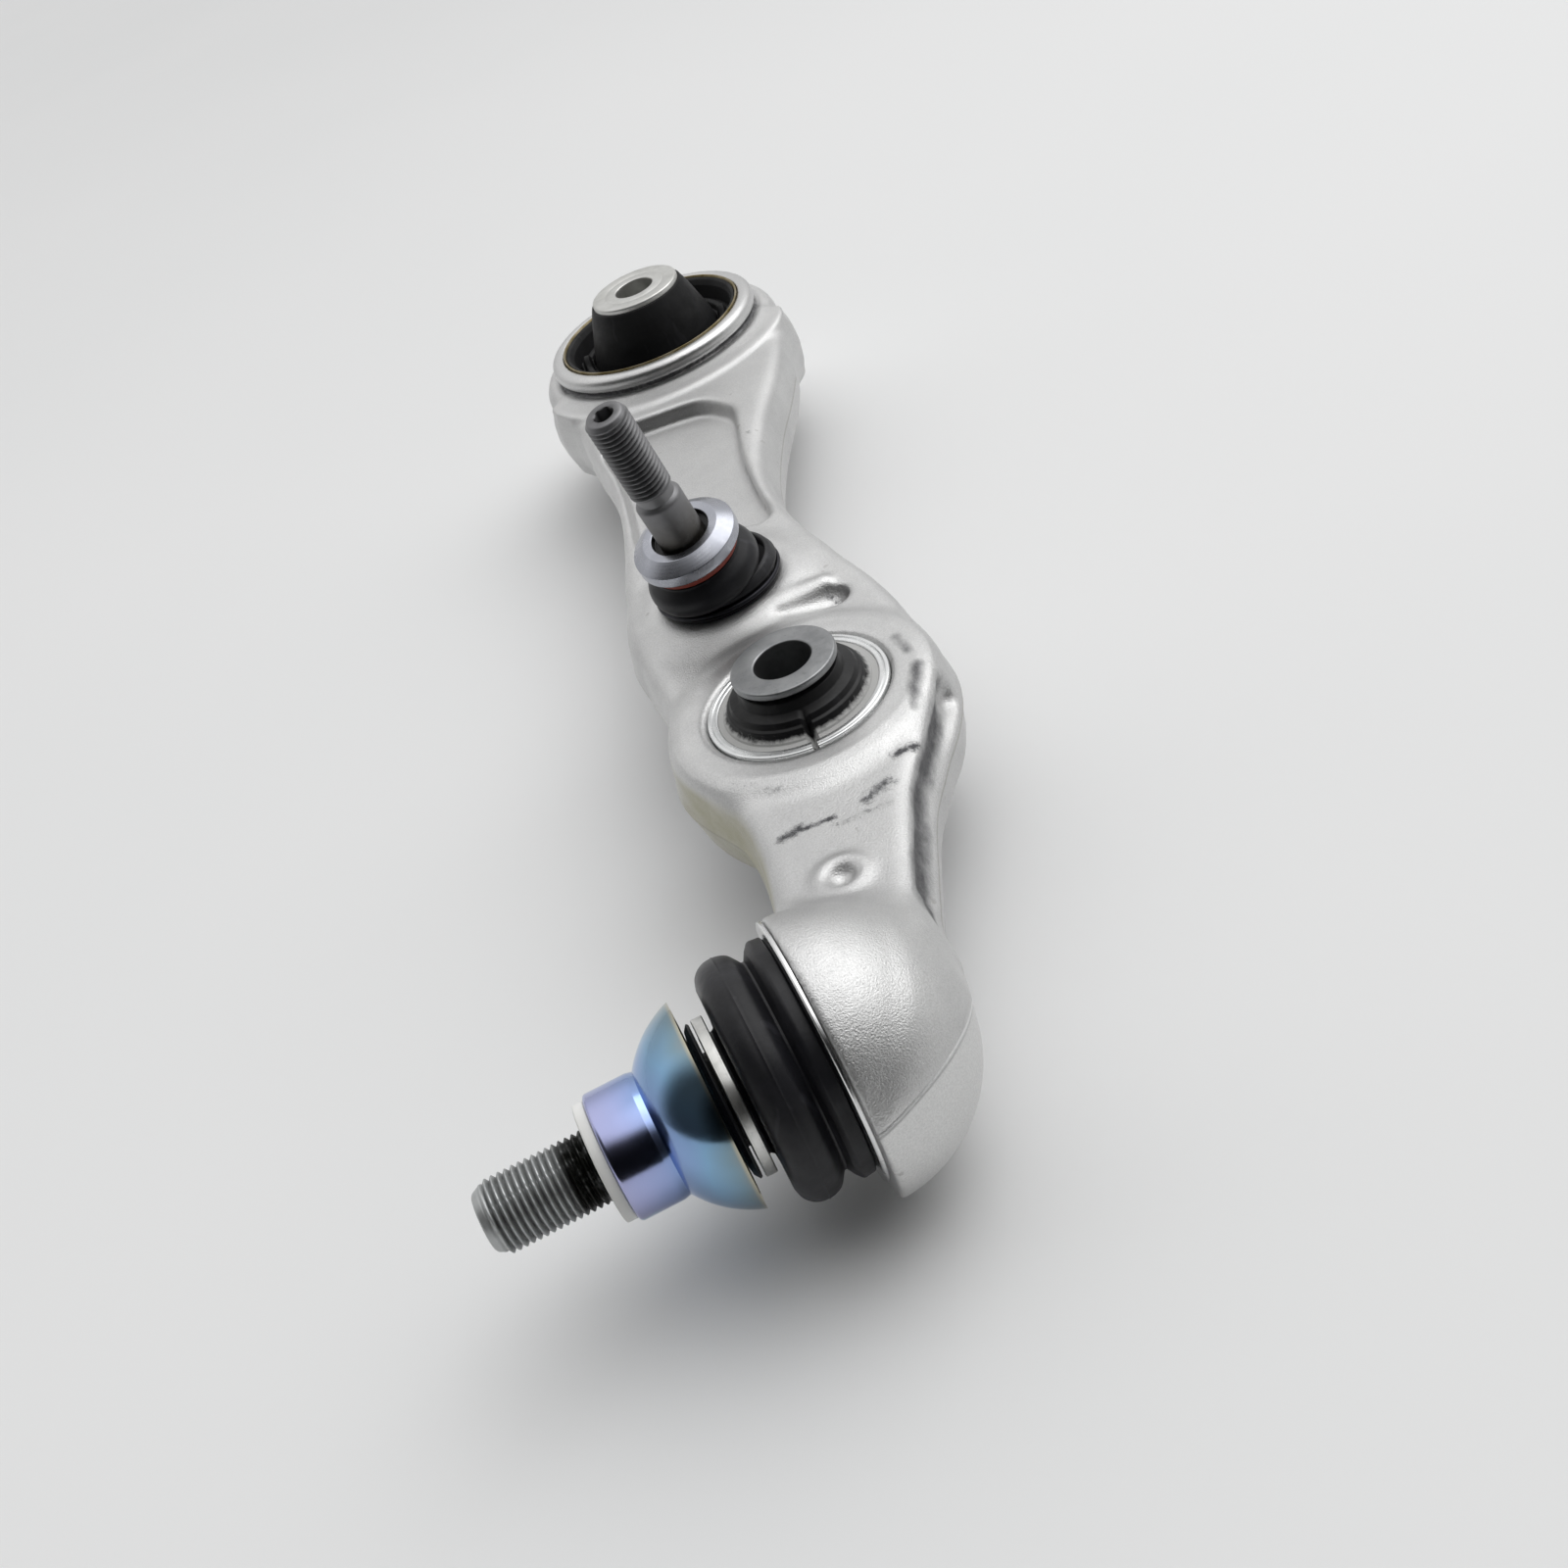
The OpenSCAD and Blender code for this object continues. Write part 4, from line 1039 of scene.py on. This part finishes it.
CUP_CENTRE, CUP_R = 16.81, 24.40
cup_from = math.atan2(23.15, 24.5 - CUP_CENTRE)
cup_to = math.atan2(13.7, 37.0 - CUP_CENTRE)
cup = [(CUP_R * math.sin(a), CUP_CENTRE + CUP_R * math.cos(a))
       for a in np.linspace(cup_from, cup_to, 22)]
INNER_R = CUP_R - 1.3
in_from = math.acos((24.5 - CUP_CENTRE) / INNER_R)
in_to = math.acos((30.0 - CUP_CENTRE) / INNER_R)
cup_inside = [(INNER_R * math.sin(a), CUP_CENTRE + INNER_R * math.cos(a))
              for a in np.linspace(in_to, in_from, 14)]
outline = ([(8.52, 25.1), (11.2, 25.1), (11.2, 30.0)] + cup_inside + cup
           + [(14.05, 38.5, 0.6), (14.05, 48.3, 0.9), (8.52, 48.3)])
piece = lathe("cone_sleeve_cup", outline, AT_JOINT, blue_passivate(), 192, smooth_angle=30)
finish_piece(piece, "stud", "blue_passivate", "cone_sleeve")

piece = lathe("thread_washer_disc", [(8.02, 48.35, 0.2), (13.0, 48.35, 0.3), (13.0, 50.9, 0.4),
                                     (8.02, 50.9, 0.2)], AT_JOINT,
              plastic("white_plastic", (0.80, 0.80, 0.78)), 128)
finish_piece(piece, "stud", "white_plastic", "thread_washer")

# ---- stabiliser joint --------------------------------------------------------

pin_black = rubber("pin_boot_rubber", (0.008, 0.008, 0.010), 0.42)
CLIP_R, CLIP_Z = 17.7, 16.2
lower = [(11.5, 14.1), (CLIP_R - 0.2, 14.1, 0.3), (CLIP_R - 0.3, 15.0, 0.2),
         (CLIP_R - 1.1, 15.2, 0.2), (CLIP_R - 1.1, 17.2, 0.2), (CLIP_R + 0.1, 17.7, 0.4),
         (CLIP_R + 0.3, 18.6, 0.7), (CLIP_R - 0.9, 20.6, 0.8), (15.8, 21.0, 0.2), (15.4, 20.7),
         (15.4, 18.2, 0.4)]
piece = lathe("pin_boot_lower_fold", lower, AT_BOSS, pin_black, 144, smooth_angle=60)
finish_boot(piece, "pin_boot")
upper = ([(13.2, 17.6)] + open_curve([(14.2, 17.4), (15.6, 18.1), (16.25, 19.7), (16.2, 21.4),
                                     (15.4, 23.2), (14.0, 24.7), (13.1, 25.6)])
         + [(12.9, 26.2, 0.3), (7.1, 26.3), (7.1, 24.9), (12.4, 23.0, 0.8), (12.8, 20.0, 0.8)])
piece = lathe("pin_boot_upper_fold", upper, AT_PIN, pin_black, 144, smooth_angle=60)
finish_boot(piece, "pin_boot")

outline = [(CLIP_R + 0.7 * math.cos(a), CLIP_Z + 0.7 * math.sin(a))
           for a in np.linspace(0, 2 * math.pi, 16, endpoint=False)]
clip_steel = turned_metal("clip_steel", AT_BOSS, (0.035, 0.035, 0.04), 0.4, 0.01)
piece = lathe("pin_boot_clip_wire", outline, AT_BOSS, clip_steel, 128)
finish_piece(piece, "arm", "dark_steel", "pin_boot_clip")

red = plastic("red_seal", (0.26, 0.035, 0.018), 0.5)
piece = lathe("pin_seal_ring_band", [(6.7, 26.6), (13.2, 26.6, 0.4), (13.2, 28.5, 0.4),
                                     (6.7, 28.5)],
              AT_PIN, red, 128)
finish_piece(piece, "pin_ring", "red_seal", "pin_seal_ring")

pin_grey = zinc_thread("dark_steel", AT_PIN, 33.0, 78.0, 47.0, (0.19, 0.19, 0.195),
                       (0.050, 0.044, 0.032))
pin_rows = [(11 * -math.cos(a), 11 * math.sin(a)) for a in np.linspace(0.05, math.pi - 0.64, 36)]
rows = pin_rows + [(47.6, 6.6), (48.4, 6.1), (49.0, 5.3), (51.6, 5.2), (52.1, 6.0), (76.4, 6.0),
                   (77.7, 5.1), (78.0, 4.8)]
piece = threaded("ball_pin_bar", rows, AT_PIN, pin_grey, (51.8, 77.2), 1.5, 0.72, bore=(5.0, 6.0))
finish_piece(piece, "pin", "dark_steel", "ball_pin")

# painted shade: near black inside r = 8.5, in the recess round the pin shank
disc_silver = turned_metal("disc_steel", AT_PIN, (0.37, 0.38, 0.42), 0.27, 0.04, 0.05, 0.3,
                           shade_pit_r=8.5)
piece = lathe("pin_collar_plate", [(6.62, 29.0), (14.4, 29.0, 0.3), (15.0, 29.6, 0.3),
                                   (15.0, 32.6, 0.4), (11.0, 35.2, 0.6), (8.3, 35.2, 0.5),
                                   (8.3, 33.5, 0.3), (6.62, 33.4)],
              AT_PIN, disc_silver, 144)
finish_piece(piece, "pin", "disc_steel", "pin_collar_disc")

# ---- CAD nodes that keep their shape -----------------------------------------

seat_white = plastic("seat_plastic", (0.72, 0.70, 0.62))
ring_steel = turned_metal("closing_steel", AT_JOINT, (0.62, 0.62, 0.62), 0.3)
cap_steel = turned_metal("cap_steel", AT_BOSS, (0.62, 0.62, 0.62), 0.34)
for node, material in (("joint_ball_seat", seat_white), ("pin_ball_seat", seat_white),
                       ("joint_closing_ring", ring_steel), ("pin_closing_disc", cap_steel)):
    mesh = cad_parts[node].data
    mesh.materials.clear()
    mesh.materials.append(material)

# ---- floor and light ---------------------------------------------------------

FLOOR_HALF_SIDE, FLOOR_GAP = 40.0, 0.0002
floor_mesh = bpy.data.meshes.new("floor")
corners = [(x * FLOOR_HALF_SIDE, y * FLOOR_HALF_SIDE, 0)
           for x, y in ((-1, -1), (1, -1), (1, 1), (-1, 1))]
floor_mesh.from_pydata(corners, [], [(0, 1, 2, 3)])
floor = bpy.data.objects.new("floor", floor_mesh)
floor.location = (0, 0, CAD_BOX[0].z - FLOOR_GAP)
scene.collection.objects.link(floor)
paper = Nodes("floor_paper", Metallic=0.0, Roughness=0.9, Specular_IOR_Level=0.15)
paper.colour(paper.ramp(paper.noise(3.0, 2.0, 0.5), (0.3, (0.815, 0.82, 0.82)),
                        (0.7, (0.83, 0.832, 0.832))))
floor_mesh.materials.append(paper.bump((paper.noise(600.0, 2.0, 0.5), 0.03, 0.1)))


def softbox(name, at, aim, size, power, colour=(1, 1, 1)):
    data = bpy.data.lights.new(name, "AREA")
    data.shape = "RECTANGLE"
    data.size, data.size_y = size
    data.energy = power
    data.color = colour
    lamp = bpy.data.objects.new(name, data)
    lamp.location = at
    lamp.rotation_euler = (Vector(aim) - Vector(at)).to_track_quat("-Z", "Y").to_euler()
    scene.collection.objects.link(lamp)


softbox("window", (0.62, 0.10, 0.95), (0.0, -0.25, 0.0), (0.9, 0.9), 2.4)

# The pale room that the metals reflect: brighter overhead, with one soft window and dark walls
# low behind the main camera. The camera itself sees a plain pale backdrop.
DARK_WALLS = ((152, 20, 54), (-126, 24, 58), (-172, 24, 52))
DARK_LEVEL = 0.08
BACKDROP = (0.86, 0.865, 0.87, 1)
world = bpy.data.worlds.new("studio")
scene.world = world
world.use_nodes = True
room = world.node_tree
looking = room.nodes.new("ShaderNodeTexCoord").outputs["Generated"]


def direction(azimuth, elevation):
    """A unit vector; azimuth 0 is +Y and 90 is +X, both in degrees."""
    a, e = math.radians(azimuth), math.radians(elevation)
    return Vector((math.sin(a) * math.cos(e), math.cos(a) * math.cos(e), math.sin(e)))


def lobe(toward, outer, inner, outside, inside):
    """A level that eases from outside to inside between two angles from a direction."""
    facing = room.nodes.new("ShaderNodeVectorMath")
    facing.operation = "DOT_PRODUCT"
    facing.inputs[1].default_value = toward
    room.links.new(looking, facing.inputs[0])
    fade = room.nodes.new("ShaderNodeMapRange")
    fade.interpolation_type = "SMOOTHERSTEP"
    room.links.new(facing.outputs["Value"], fade.inputs["Value"])
    for key, value in (("From Min", math.cos(math.radians(outer))),
                       ("From Max", math.cos(math.radians(inner))),
                       ("To Min", outside), ("To Max", inside)):
        fade.inputs[key].default_value = value
    return fade.outputs["Result"]


def combine(operation, a, b):
    """One level from two."""
    node = room.nodes.new("ShaderNodeMath")
    node.operation = operation
    room.links.new(a, node.inputs[0])
    room.links.new(b, node.inputs[1])
    return node.outputs[0]


level = lobe(direction(0, 90), 95, 10, 0.72, 1.22)
for azimuth, elevation, wide in DARK_WALLS:
    wall = lobe(direction(azimuth, elevation), wide, 24, 1.0, DARK_LEVEL)
    level = combine("MULTIPLY", level, wall)
level = combine("ADD", level, lobe(direction(80, 57), 44, 8, 0.0, 0.80))
back = room.nodes["Background"]
backdrop = room.nodes.new("ShaderNodeMix")
backdrop.data_type = "RGBA"
room.links.new(room.nodes.new("ShaderNodeLightPath").outputs["Is Camera Ray"], backdrop.inputs[0])
room.links.new(level, backdrop.inputs[6])
backdrop.inputs[7].default_value = BACKDROP
room.links.new(backdrop.outputs[2], back.inputs["Color"])
back.inputs["Strength"].default_value = 0.90
scene.view_settings.view_transform = "Standard"
